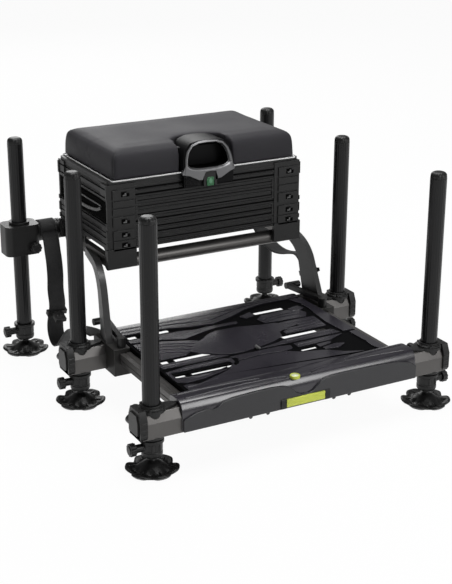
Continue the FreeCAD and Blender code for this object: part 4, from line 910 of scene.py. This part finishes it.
# ---- straps
NECK = (346, 306)
NECK_RADIUS = 25.8
LEFT_HANG = [
    (311, 292, 0), (290, 272, 0.25), (268, 250, 0.5), (250, 222, 0.75), (238, 192, 1), (232, 165, 1),
    (233, 148, 1), (243, 124, 1), (250, 104, 1), (250, 84, 1), (241, 68, 1), (226, 60, 1),
    (208, 62, 1), (188, 76, 1), (160, 103, 1), (134, 126, 1), (110, 139, 1), (84, 143, 0.6),
    (62, 143, 0.2), (43.8, 142, 0),
]
RIGHT_HANG = [
    (306, 288, 0), (286, 262, 0.2), (262, 236, 0.4), (236, 219, 0.5), (208, 211, 0.6), (180, 210, 0.7),
    (154, 214, 0.9), (130, 221, 1.1), (110, 224, 1.3), (94, 214, 1.4), (82, 196, 1.4), (72, 176, 1.4),
    (60, 158, 1.3), (43.8, 143, 1.2),
]
STRAP_SHIFT = 22.0
STRAP_EDGES = (255, 295)
STRAP_COLUMNS = 6
STRAP_THICKNESS = 2.2


def strap_line(hang):
    """Middle line of a strap round the neck and down its hang, smoothed."""
    line = [Vector((0, y, z)) for y, z in arc(NECK, NECK_RADIUS, -60, 180, 16)]
    line += [Vector((STRAP_SHIFT * share, y, z)) for y, z, share in hang]
    fine = []
    for i in range(len(line) - 1):
        before, start = line[max(i - 1, 0)], line[i]
        end, after = line[i + 1], line[min(i + 2, len(line) - 1)]
        for t in (0, 0.25, 0.5, 0.75):
            fine.append(
                (start * 2 + (end - before) * t
                 + (before * 2 - start * 5 + end * 4 - after) * t * t
                 + (start * 3 - before - end * 3 + after) * t ** 3) / 2
            )
    return fine + [line[-1]]


def strap(side, hang):
    """Hanging webbing, woven along its own length, as one sheet with a thickness."""
    line = strap_line(hang)
    out = SIDES[side]
    low, high = STRAP_EDGES
    places = [low + (high - low) * i / STRAP_COLUMNS for i in range(STRAP_COLUMNS + 1)]
    bm = bmesh.new()
    uv_layer = bm.loops.layers.uv.new("UVMap")
    row = [bm.verts.new((across * out, line[0].y, line[0].z)) for across in places]
    along = {vert: (across, 0) for vert, across in zip(row, places)}
    edges = [bm.edges.new((row[i], row[i + 1])) for i in range(STRAP_COLUMNS)]
    length = 0.0
    for before, here in zip(line, line[1:]):
        length += (here - before).length
        grown = bmesh.ops.extrude_edge_only(bm, edges=edges)
        edges = [item for item in grown["geom"] if isinstance(item, bmesh.types.BMEdge)]
        fresh = [item for item in grown["geom"] if isinstance(item, bmesh.types.BMVert)]
        fresh.sort(key=lambda vert: abs(vert.co.x))
        for vert, across in zip(fresh, places):
            vert.co = Vector(((across + here.x) * out, here.y, here.z))
            along[vert] = (across, length)
    for face in bm.faces:
        for loop in face.loops:
            u, v = along[loop.vert]
            loop[uv_layer].uv = (u * MM, v * MM)
    bmesh.ops.recalc_face_normals(bm, faces=bm.faces[:])
    item = finished(bm, "strap_" + side, "frame", WEBBING, ("shoulder_straps",))
    thick = item.modifiers.new("thickness", "SOLIDIFY")
    thick.thickness = STRAP_THICKNESS * MM
    thick.offset = 0.0


# ---- footplate
SKIN = (145.0, 146.8)
DECK_HALF = 246.0
WALL_FOOT = 128.0
SLOTS = {
    "back": ((-232, -131, -30, -16), (92, 170, -30, -16)),
    "middle": ((-228, -107, -190, -176), (75, 190, -188, -174)),
    "fore": ((-234, -98, -268, -254), (74, 113, -268, -254)),
}
PADS_REAR = [
    # Bow tie in the middle
    (150, 6, [
        [(-148, -160), (-115, -123), (-88, -109), (-65, -90), (-38, -80), (19, -84), (70, -98),
         (100, -100), (142, -136), (112, -141), (84, -153), (77, -178), (46, -195), (7, -206),
         (-43, -216), (-77, -213), (-122, -184)],
    ]),
    # Band along the back, with its hollow
    (150, 4, [
        [(-244, 44), (244, 44), (244, 20), (190, 22), (140, 21), (86, 8), (37, -17), (-19, -37),
         (-79, -29), (-146, -10), (-244, -8)],
    ]),
    # Plates round the slots
    (149.2, 3, [
        [(-240, -40), (-120, -42), (-75, -50), (-41, -47), (30, -50), (28, -62), (-20, -60),
         (-65, -70), (-120, -88), (-175, -66), (-240, -56)],
        [(-240, -66), (-176, -78), (-126, -98), (-100, -112), (-120, -130), (-152, -164), (-160, -171),
         (-240, -171)],
        [(-240, -195), (-120, -195), (-100, -205), (-80, -217), (-240, -217)],
        [(50, -28), (88, -12), (84, -38), (60, -44)],
        [(100, -44), (170, -42), (196, -54), (204, -76), (190, -98), (112, -92), (82, -88), (78, -62)],
        [(112, -104), (206, -104), (200, -168), (92, -168), (94, -154), (116, -146), (150, -139)],
        [(52, -204), (80, -193), (196, -192), (206, -217), (-10, -217)],
    ]),
    # Light patch behind the right slot, and the right-hand border
    (150, 3, [
        [(174, -38), (206, -30), (214, -50), (200, -58), (180, -52)],
        [(210, 14), (244, 14), (244, -217), (214, -217), (210, -150), (216, -100), (222, -60),
         (222, -20)],
    ]),
]
RIDGES_REAR = [
    (4, 151.6, [
        [(-240, 27), (-117, 22), (-55, 17), (12, 18), (59, 22), (95, 33), (140, 38), (238, 40)],
        [(-240, 8), (-125, 6), (-66, -4), (-13, -12), (41, 8), (82, 24), (140, 30), (238, 31)],
    ]),
    (2.2, 150.6, [
        [(-236, -84), (-180, -92), (-134, -112), (-112, -126)],
        [(-236, -100), (-180, -106), (-140, -124), (-124, -138)],
        [(-236, -118), (-186, -122), (-150, -138), (-136, -152)],
        [(-236, -136), (-196, -138), (-164, -150), (-150, -165)], [(86, -74), (120, -62), (180, -62)],
        [(94, -84), (126, -74), (186, -76)], [(120, -118), (200, -116)], [(108, -132), (200, -130)],
        [(100, -146), (200, -144)], [(96, -160), (196, -158)], [(70, -206), (200, -203)],
        [(-236, -206), (-110, -206)],
    ]),
]
PADS_FRONT = [
    (150, 4, [
        [(-120, -286), (-84, -268), (-80, -258), (-23, -252), (40, -258), (66, -276), (120, -292),
         (150, -318), (200, -340), (244, -352), (244, -346), (244, -342), (-230, -342), (-200, -318),
         (-150, -300)],
    ]),
    (149.4, 3, [
        [(-86, -226), (-20, -226), (40, -226), (66, -232), (60, -250), (36, -252), (-22, -246),
         (-78, -252), (-70, -238)],
    ]),
    (149.2, 3, [
        [(76, -226), (206, -226), (160, -246), (76, -248)],
        [(118, -254), (158, -252), (152, -262), (118, -270)],
        [(120, -276), (160, -268), (180, -276), (156, -290), (124, -286)],
    ]),
    (150, 3, [
        [(224, -226), (244, -226), (244, -345), (228, -342), (222, -318), (226, -290), (224, -250)],
    ]),
    (149.2, 2, [
        [(-240, -312), (-222, -312), (-200, -326), (-226, -338), (-240, -338)],
    ]),
]
FRONT_LEFT_PAD = [
    (-244, -238), (-192, -228), (-110, -226), (-84, -232), (-88, -256), (-120, -282), (-184, -300),
    (-228, -304), (-244, -292),
]
RIDGES_FRONT = [
    (2.2, 151.2, [
        [(-238, -276), (-196, -288), (-150, -284), (-116, -272)],
        [(-236, -246), (-190, -238), (-120, -236), (-96, -242)],
    ]),
    (2.4, 150.8, [[(-236, -324), (-205, -322), (-160, -314)]]),
    (2.2, 150.6, [[(80, -236), (150, -236)]]),
]
NOSE_SECTION = [
    (-342.7, 128), (-342.7, 121.3), (-351.7, 140.3), (-384.3, 140.3), (-393.3, 121.3), (-393.3, 90),
    (-396.2, 90), (-396.2, 118), (-395, 130), (-391.5, 141), (-386, 148.5), (-378, 152.4), (-368, 153),
    (-352, 152.6), (-345, 151.6), (-339, 149.6), (-339, 128),
]
APRON = [
    (-284, 90), (284, 90), (284, 119), (266, 131), (236, 138), (190, 141), (140, 142), (102, 142.5),
    (72, 142), (48, 139), (34, 130), (20, 118), (8, 114), (-8, 115), (-22, 122), (-36, 136),
    (-52, 142), (-82, 144.5), (-129, 144), (-170, 142), (-192, 138), (-206, 129), (-216, 125.5),
    (-232, 131), (-256, 127), (-284, 116),
]
CRESTS = [
    [(-270, -376), (-236, -374), (-189, -371), (-125, -370), (-70, -373), (-36, -380)],
    [(24, -380), (60, -374), (107, -371), (150, -371), (196, -373), (262, -380)],
    [(-276, -352), (-220, -351), (-150, -354), (-90, -362)],
    [(120, -362), (180, -356), (230, -352), (276, -351)],
]
FINGER_HOOK = [(-396, 92), (-396, 86), (-392, 81), (-387, 82), (-388, 92)]
GRIP_BRACKET = [(-397, 90), (-403, 91), (-404.2, 96), (-404.2, 107), (-402, 113), (-397, 116)]
PULL_BAR = [
    (-397.4, 93.5), (-403, 93.5), (-404.2, 95), (-404.2, 98.5), (-403.4, 99.5),
    (-403.4, 106), (-404.2, 107), (-404.2, 110.5), (-403, 112), (-397.4, 112),
]
LEVEL_CENTRE = (-18, -386)


def slot_loop(left, right, front, back):
    return rounded_rectangle((left, right), (front, back), 3, 3)


def deck_skin(y, rows):
    """Thin slotted plate with walls along its edges and three ribs under it."""
    bm = bmesh.new()
    loops = [rectangle((-DECK_HALF, DECK_HALF), y)]
    loops += [slot_loop(*slot) for row in rows for slot in SLOTS[row]]
    pierced(bm, "XY", loops, *SKIN)
    walls = (WALL_FOOT, SKIN[0])
    inner = DECK_HALF - 4.0
    for x in ((-DECK_HALF, -inner), (inner, DECK_HALF)):
        block(bm, x, y, walls)
    for edge in ((y[0], y[0] + 3), (y[1] - 3, y[1])):
        block(bm, (-inner, inner), edge, walls)
    for x in (-196, 0, 214):
        block(bm, (x - 2, x + 2), (y[0] + 3, y[1] - 3), (WALL_FOOT + 4, SKIN[0]))
    return bm


def on_deck(bm, name, material, replaces=(), bevel=1, segments=2, angle=32):
    finished(bm, name, "footplate", material, replaces, bevel, segments, angle)


def ribbon(points, width):
    """Outline of even width round a line."""
    left, right = [], []
    for i, (x, y) in enumerate(points):
        before, after = points[max(i - 1, 0)], points[min(i + 1, len(points) - 1)]
        run = Vector((after[0] - before[0], after[1] - before[1])).normalized()
        across = Vector((-run.y, run.x)) * (width / 2)
        left.append((x + across.x, y + across.y))
        right.append((x - across.x, y - across.y))
    return left + right[::-1]


def pads(name, entries, pierced_pads=()):
    """Raised plates on the deck, in groups with a top and a corner radius."""
    bm = bmesh.new()
    for top, corner, plates in entries:
        for points in plates:
            outline(bm, "XY", points, SKIN[1], top, corner)
    for loops, top in pierced_pads:
        pierced(bm, "XY", loops, SKIN[1], top)
    on_deck(bm, name, PAD, bevel=0.9, segments=3)


def ridges(name, entries):
    """Fine ribs along lines on the deck, in groups with a width and a top."""
    bm = bmesh.new()
    for width, top, lines in entries:
        for points in lines:
            outline(bm, "XY", ribbon(points, width), SKIN[1] + 1, top)
    on_deck(bm, name, PAD, bevel=0.6)


def rear_deck():
    bm = deck_skin((-219, 45), ("back", "middle"))
    # Skin in the near-black deck finish: painted shade between the pads
    on_deck(bm, "rear_deck", DECK_SHADE, ("footplate_rear",), 0.4, 1)
    pads("rear_deck_pads", PADS_REAR)
    ridges("rear_deck_ridges", RIDGES_REAR)
    bm = bmesh.new()
    block(bm, (-12, -4), (-219, -207), (149, 153))
    block(bm, (-10.5, -5.5), (-224, -205), (151, 155))
    on_deck(bm, "deck_catch", HOOK)


def front_deck():
    bm = deck_skin((-343, -222), ("fore",))
    # Skin in the near-black deck finish: painted shade between the pads
    on_deck(bm, "front_deck", DECK_SHADE, ("footplate_front",), 0.4, 1)
    left, right, front, back = SLOTS["fore"][0]
    opening = slot_loop(left - 3, right + 2, front - 12, back + 9)
    pads("front_deck_pads", PADS_FRONT, [((FRONT_LEFT_PAD, opening), 149.6)])
    ridges("front_deck_ridges", RIDGES_FRONT)
    bm = bmesh.new()
    outline(bm, "YZ", NOSE_SECTION, -285, 285)
    on_deck(bm, "nose", PAD, bevel=1.6, segments=3, angle=25)
    bm = bmesh.new()
    outline(bm, "XZ", APRON, -401, -394)
    on_deck(bm, "nose_apron", DECK, bevel=1.3, segments=3)
    bm = bmesh.new()
    for crest in CRESTS:
        outline(bm, "XY", ribbon(crest, 5), 150.5, 154.2)
    on_deck(bm, "nose_crests", PAD, bevel=1.6, segments=3)
    bm = bmesh.new()
    for x in (-126, -85, 77, 116):
        outline(bm, "YZ", FINGER_HOOK, x - 2.5, x + 2.5)
    for out in SIDES.values():
        outline(bm, "YZ", GRIP_BRACKET, *out_span(out, 47.4, 60))
    on_deck(bm, "grip_brackets", BLACK)


def footplate_fittings():
    """Grip bar under the nose, and the round level let into it."""
    bm = bmesh.new()
    outline(bm, "YZ", PULL_BAR, -46.8, 46.8)
    finished(bm, "pull_bar", "footplate", LIME, ("platform_handle",), 0.7)
    bm = bmesh.new()
    lathe(bm, [(8.3, 149), (8.3, 154.2), (8.8, 155), (10.4, 155), (11, 154.4),
               (11, 149), (8.3, 149)], LEVEL_CENTRE, 40)
    finished(bm, "level_ring", "footplate", LIME, ("spirit_level",), 0.3)
    bm = bmesh.new()
    lathe(bm, [(0, 149), (8.2, 149), (8.2, 154), (6.2, 155.2), (3, 155.9),
               (0, 156)], LEVEL_CENTRE, 40)
    finished(bm, "level_vial", "footplate", VIAL)


# ---- grab handle
FRAME_HALF = [
    (0, 561.5), (22, 560.5), (40, 555), (52, 541.5), (58.5, 525), (60.5, 508), (67, 494), (66, 489),
    (52, 487), (28, 475), (19, 474.5), (18, 480), (13, 493), (0, 494.5),
]
MOUTH_HALF = [
    (0, 557.5), (22, 556.5), (38, 551), (48, 539.5), (54, 524), (56, 509), (50, 503), (36, 499.5),
    (18, 498), (0, 498),
]
HOOD_HALF = [
    (0, 562), (24, 561.5), (43, 557), (56, 544), (62, 526), (64, 505), (64, 486),
]
HOOD_INNER = [
    (0, 557.5), (22, 557), (40, 552), (52, 540), (58, 524), (60, 505), (60, 486),
]
MOUTH_MIDDLE = 527.0
MOUTH_BACK = (0.9, 0.88)
POCKET_OUTER = (1.055, 1.09)
POCKET_INNER = (0.93, 0.92)
LEAN_START = 512.0
HANDLE_HALF = 64.0
FACE_FOOT = 494.0
LIP_HALF = 45.0


def about_mouth(points, wide, tall):
    return [(x * wide, MOUTH_MIDDLE + (z - MOUTH_MIDDLE) * tall) for x, z in points]


def lean(verts, curl):
    """Lean the upper part of a face back, and bend its two sides back a little."""
    for vert in verts:
        rise = max(vert.co.z - LEAN_START, 0)
        vert.co.y += rise / 3.0 + curl * (abs(vert.co.x) / HANDLE_HALF) ** 3


def on_handle(bm, name, material, bevel, segments=2, replaces=()):
    finished(bm, name, "seat", material, replaces, bevel, segments)


def grab_handle():
    """Silver front with a wide mouth, the pocket behind it painted near black as the shade inside the
    mouth, the hood and the foot.
    """
    mouth = closed_half(MOUTH_HALF)
    bm = bmesh.new()
    verts = pierced(bm, "XZ", [closed_half(FRAME_HALF), mouth], 15, 24)
    for vert in verts:
        if vert.co.y > 20.0 and any(
            abs(vert.co.x - x) + abs(vert.co.z - z) < 0.01 for x, z in mouth
        ):
            vert.co.x, vert.co.z = about_mouth([(vert.co.x, vert.co.z)], *MOUTH_BACK)[0]
    lean(verts, 9)
    for vert in verts:
        if vert.co.z < FACE_FOOT and abs(vert.co.x) < LIP_HALF:
            vert.co.y += (FACE_FOOT - vert.co.z) * 0.1
    on_handle(bm, "handle_frame", SILVER, 1.4, 3, ("latch_handle",))

    bm = bmesh.new()
    outer = closed_half(about_mouth(MOUTH_HALF, *POCKET_OUTER))
    inner = closed_half(about_mouth(MOUTH_HALF, *POCKET_INNER))
    pierced(bm, "XZ", [outer, inner], 20, 62)
    outline(bm, "XZ", outer, 62, 65)
    lean([vert for vert in bm.verts if vert.co.y < 30], 9)
    # Pocket in the near-black finish: painted shade inside the mouth
    on_handle(bm, "handle_pocket", SHADE_BLACK, 0.4)

    bm = bmesh.new()
    for side in (1, -1):
        arch = [(x * side, z) for x, z in HOOD_HALF + HOOD_INNER[::-1]]
        outline(bm, "XZ", arch, 18, 104)
    bmesh.ops.remove_doubles(bm, verts=bm.verts[:], dist=0.01)
    for vert in bm.verts:
        if vert.co.y < 60.0:
            lean([vert], 6)
        else:
            vert.co.y -= 16.0 * (abs(vert.co.x) / HANDLE_HALF) ** 2
    outline(bm, "XY", closed_half([(61, 60), (58, 86), (44, 102), (18, 110)]), 494.2, 545)
    on_handle(bm, "handle_hood", GLOSS, 1.6, 3)

    bm = bmesh.new()
    outline(bm, "XY", [(-63, 24.5), (-20, 22.5), (-20, 32.5), (-63, 32.5)], 460, 485)
    outline(bm, "XY", [(20, 22.5), (63, 24.5), (63, 32.5), (20, 32.5)], 462, 485)
    block(bm, (-63, 63), (24, 35.6), (485, 493))
    for i in range(9):
        for j in range(5):
            x, z = -60.5 + i * 4.6, 462.0 + j * 4.6
            block(bm, (x, x + 3.2), (22.2, 25), (z, z + 3.2))
    on_handle(bm, "handle_foot", GLOSS, 0.5)

    bm = bmesh.new()
    pierced(bm, "XZ", [rounded_rectangle((-17, 13), (472, 496), 3)], 17.5, 30)
    for x in (-17, 10.6):
        block(bm, (x, x + 6.4), (17.5, 31), (460, 473))
    on_handle(bm, "button_housing", BLACK, 1)

    bm = bmesh.new()
    outline(bm, "XZ", rounded_rectangle((-9, 9), (460, 480.5), 3.5), 16.5, 26.7)
    button = "release_button"
    finished(bm, "button_body", button, GREEN, (button,), 1.2, 3)
    bm = bmesh.new()
    outline(bm, "XZ", rounded_rectangle((-4.2, 4.2), (465.5, 476.5), 3), 15.6, 17.5)
    finished(bm, "button_lens", button, LENS, bevel=0.8)


# ---- tackle box
# Bodies of the trays, with the tops and heights of the black strips painted as shade in the gaps in
# front and at the sides, the heights of their mouldings, and the height of their corner clips
TRAYS = {
    "top_tray": ("top_tray", [(472.6, 3), (459, 3.4)], [(477, 3), (458.5, 3.2)],
                 [467], 463),
    "drawer_case": ("drawer_case", [(443, 1.2), (429, 1), (411, 2), (397.4, 3)],
                    [(394.6, 2.6)], [449.5, 434, 420, 402.8], 401),
    "middle_tray": ("middle_tray", [(379.5, 2.2), (367.2, 2.6)], [(378, 2), (367, 2.4)],
                    [388, 372.8, 362.5], 370),
    "lower_tray": ("lower_tray", [(349.8, 2.4)], [(350, 2.2)], [355, 341.5], 346),
    "base_frame": ("frame", [], [], [336.5], None),
}
FRONT_FACE = 39.0
BOX_TURN = Matrix.Translation((0, 351, 0)) @ Matrix.Rotation(math.pi, 4, "Z")
PANEL = (-178.4, 178.4)
PANEL_POSTS = ((-177.5, -173), (173, 177.5))
CLIP_PLACES = (-204, 219)
CLIP_PLATE = (33, 36.2)
CLIP_WINDOW = rectangle((-11, 11), (-7, 7))
CLIP_BLOCK = rectangle((-30.36, 24), (-11, 11))
CLIP_OPENING = [(-10, -6), (10, -6), (10, 2), (4, 2), (4, 6), (-10, 6)]
CLIP_HOOK = [(-6, -4), (3, -4), (3, 3), (-1, 3), (-1, -1), (-6, -1)]
MOULDING = [(0.5, -2.2), (-2.6, -0.6), (-2.6, 0.8), (0.5, 1.6)]
DRAWER_PLATES = ((417, 431), (434, 448))
GRIP_START = 75.0
GRIP_LENGTH = 200.0
GRIP_HEIGHT = 426.0
GRIP_SAG = 16.0
GRIP_STEPS = 16
GRIP_LIP = [(70, 429.5), (280, 429.5), (272, 433), (78, 433)]


def on_box(bm, name, body, material, bevel=0):
    finished(bm, name, body, material, bevel=bevel)


def clips(middle):
    """Black sheets painted as the shade in the clip windows, with the plates and hooks of the two
    corner clips of a tray's front.
    """
    dark, plates, hooks = bmesh.new(), bmesh.new(), bmesh.new()
    for x in CLIP_PLACES:
        window, plate, opening, hook = (
            at_place(shape, x, middle)
            for shape in (CLIP_WINDOW, CLIP_BLOCK, CLIP_OPENING, CLIP_HOOK)
        )
        # Black sheet behind the clip opening: painted shade inside the window
        outline(dark, "XZ", window, 33.9, 35.6)
        pierced(plates, "XZ", [plate, opening], *CLIP_PLATE)
        outline(hooks, "XZ", hook, 32.6, 34.6)
    return dark, plates, hooks


def tray_faces(tray, turned):
    """Black strips painted as the shade in the gaps, mouldings and corner clips on the front of a
    tray, or on its back.
    """
    body, gaps, _, mouldings, clip_height = TRAYS[tray]
    side = "back" if turned else "front"
    pieces = []
    if gaps:
        bm = bmesh.new()
        for top, height in gaps:
            # Black strip standing out of the panel: painted shade in the gap between two trays
            block(bm, PANEL, (FRONT_FACE - 1.5, FRONT_FACE + 1), (top - height, top))
        pieces.append((bm, "gaps", SHADE_BLACK, 0))
    bm = bmesh.new()
    for z in mouldings:
        outline(bm, "YZ", at_place(MOULDING, FRONT_FACE, z), *PANEL)
    for x in PANEL_POSTS:
        block(bm, x, (FRONT_FACE - 2.2, FRONT_FACE + 0.5),
              (min(mouldings) - 1.5, max(mouldings) + 1.5))
    pieces.append((bm, "ridges", BOX, 0.5))
    if clip_height:
        dark, plates, hooks = clips(clip_height)
        if tray == "drawer_case":
            for x in CLIP_PLACES:
                for z in DRAWER_PLATES:
                    outline(plates, "XZ", rectangle((x - 30.4, x + 24), z), *CLIP_PLATE)
        pieces += [(dark, "windows", SHADE_BLACK, 0), (plates, "blocks", BOX, 0.6),
                   (hooks, "hooks", HOOK, 0.6)]
    for bm, kind, material, bevel in pieces:
        if turned:
            moved(bm, bm.verts[:], BOX_TURN)
        on_box(bm, "%s_%s_%s" % (tray, kind, side), body, material, bevel)


def tray_sides(tray):
    """Black strips painted as the shade in the gaps, and corner posts along both sides of one tray."""
    body, side_gaps = TRAYS[tray][0], TRAYS[tray][2]
    gaps, posts = bmesh.new(), bmesh.new()
    heights = [top for top, _ in side_gaps]
    post = (min(heights) - 5, max(heights) + 5)
    for out in SIDES.values():
        for top, height in side_gaps:
            # Black strip on the side: painted shade in the gap between two trays
            block(gaps, out_span(out, 246.2, 247), (43, 307), (top - height, top))
        for y in (34.8, 309):
            block(posts, out_span(out, 246, 248.6), (y, y + 7.5), post)
    on_box(gaps, tray + "_side_gaps", body, SHADE_BLACK)
    on_box(posts, tray + "_posts", body, BOX, 0.8)


def drawer_grips():
    """Curved pull on each side drawer, light grey as a painted highlight, on a black sheet painted as
    the shade of a hollow.
    """
    sweep = []
    for i in range(GRIP_STEPS + 1):
        share = i / GRIP_STEPS
        sag = GRIP_SAG * math.sin(math.pi * share) ** 0.6
        sweep.append((GRIP_START + GRIP_LENGTH * share, GRIP_HEIGHT - sag))
    for side, out in SIDES.items():
        body = "drawer_" + side
        bm = bmesh.new()
        # Thin black sheet on the drawer side: painted shade of the hollow round the pull
        hollow = rectangle((52, 299), (400, 444))
        outline(bm, "YZ", hollow, *out_span(out, 242.9, 243.4))
        on_box(bm, "drawer_hollow_shade_" + side, body, SHADE_BLACK)
        bm = bmesh.new()
        outline(bm, "YZ", ribbon(sweep, 7), *out_span(out, 243.2, 247.4))
        outline(bm, "YZ", GRIP_LIP, *out_span(out, 243.2, 245.6))
        # Pull and lip are real shapes; their light grey hook finish is a painted highlight along the
        # edge that catches the light
        on_box(bm, "drawer_grip_" + side, body, HOOK, 1)


# ---- build
set_camera()
set_world()
floor()
for name, (place, size, power) in LAMPS.items():
    soft_lamp(name, place, size, power)
scene.view_settings.view_transform = "Standard"
dress_nodes()
for row, y in ROWS.items():
    for side, out in SIDES.items():
        name, x = "%s_%s" % (row, side), LEG_SPREAD * out
        leg_pieces(name, x, y, out)
        foot_piece(name, x, y)
        if row == "rear":
            pinch_wheel(name, x - 25.5 * out, y)
        else:
            clamp_wheel(name, x, y)
cushion_seams(seat_cushion())
cushion_piping()
rear_deck()
front_deck()
footplate_fittings()
grab_handle()
for tray in TRAYS:
    tray_faces(tray, False)
    tray_faces(tray, True)
    if TRAYS[tray][2]:
        tray_sides(tray)
drawer_grips()
beam_ends("front", "footplate")
beam_ends("mid", "frame")
strap("left", LEFT_HANG)
strap("right", RIGHT_HANG)
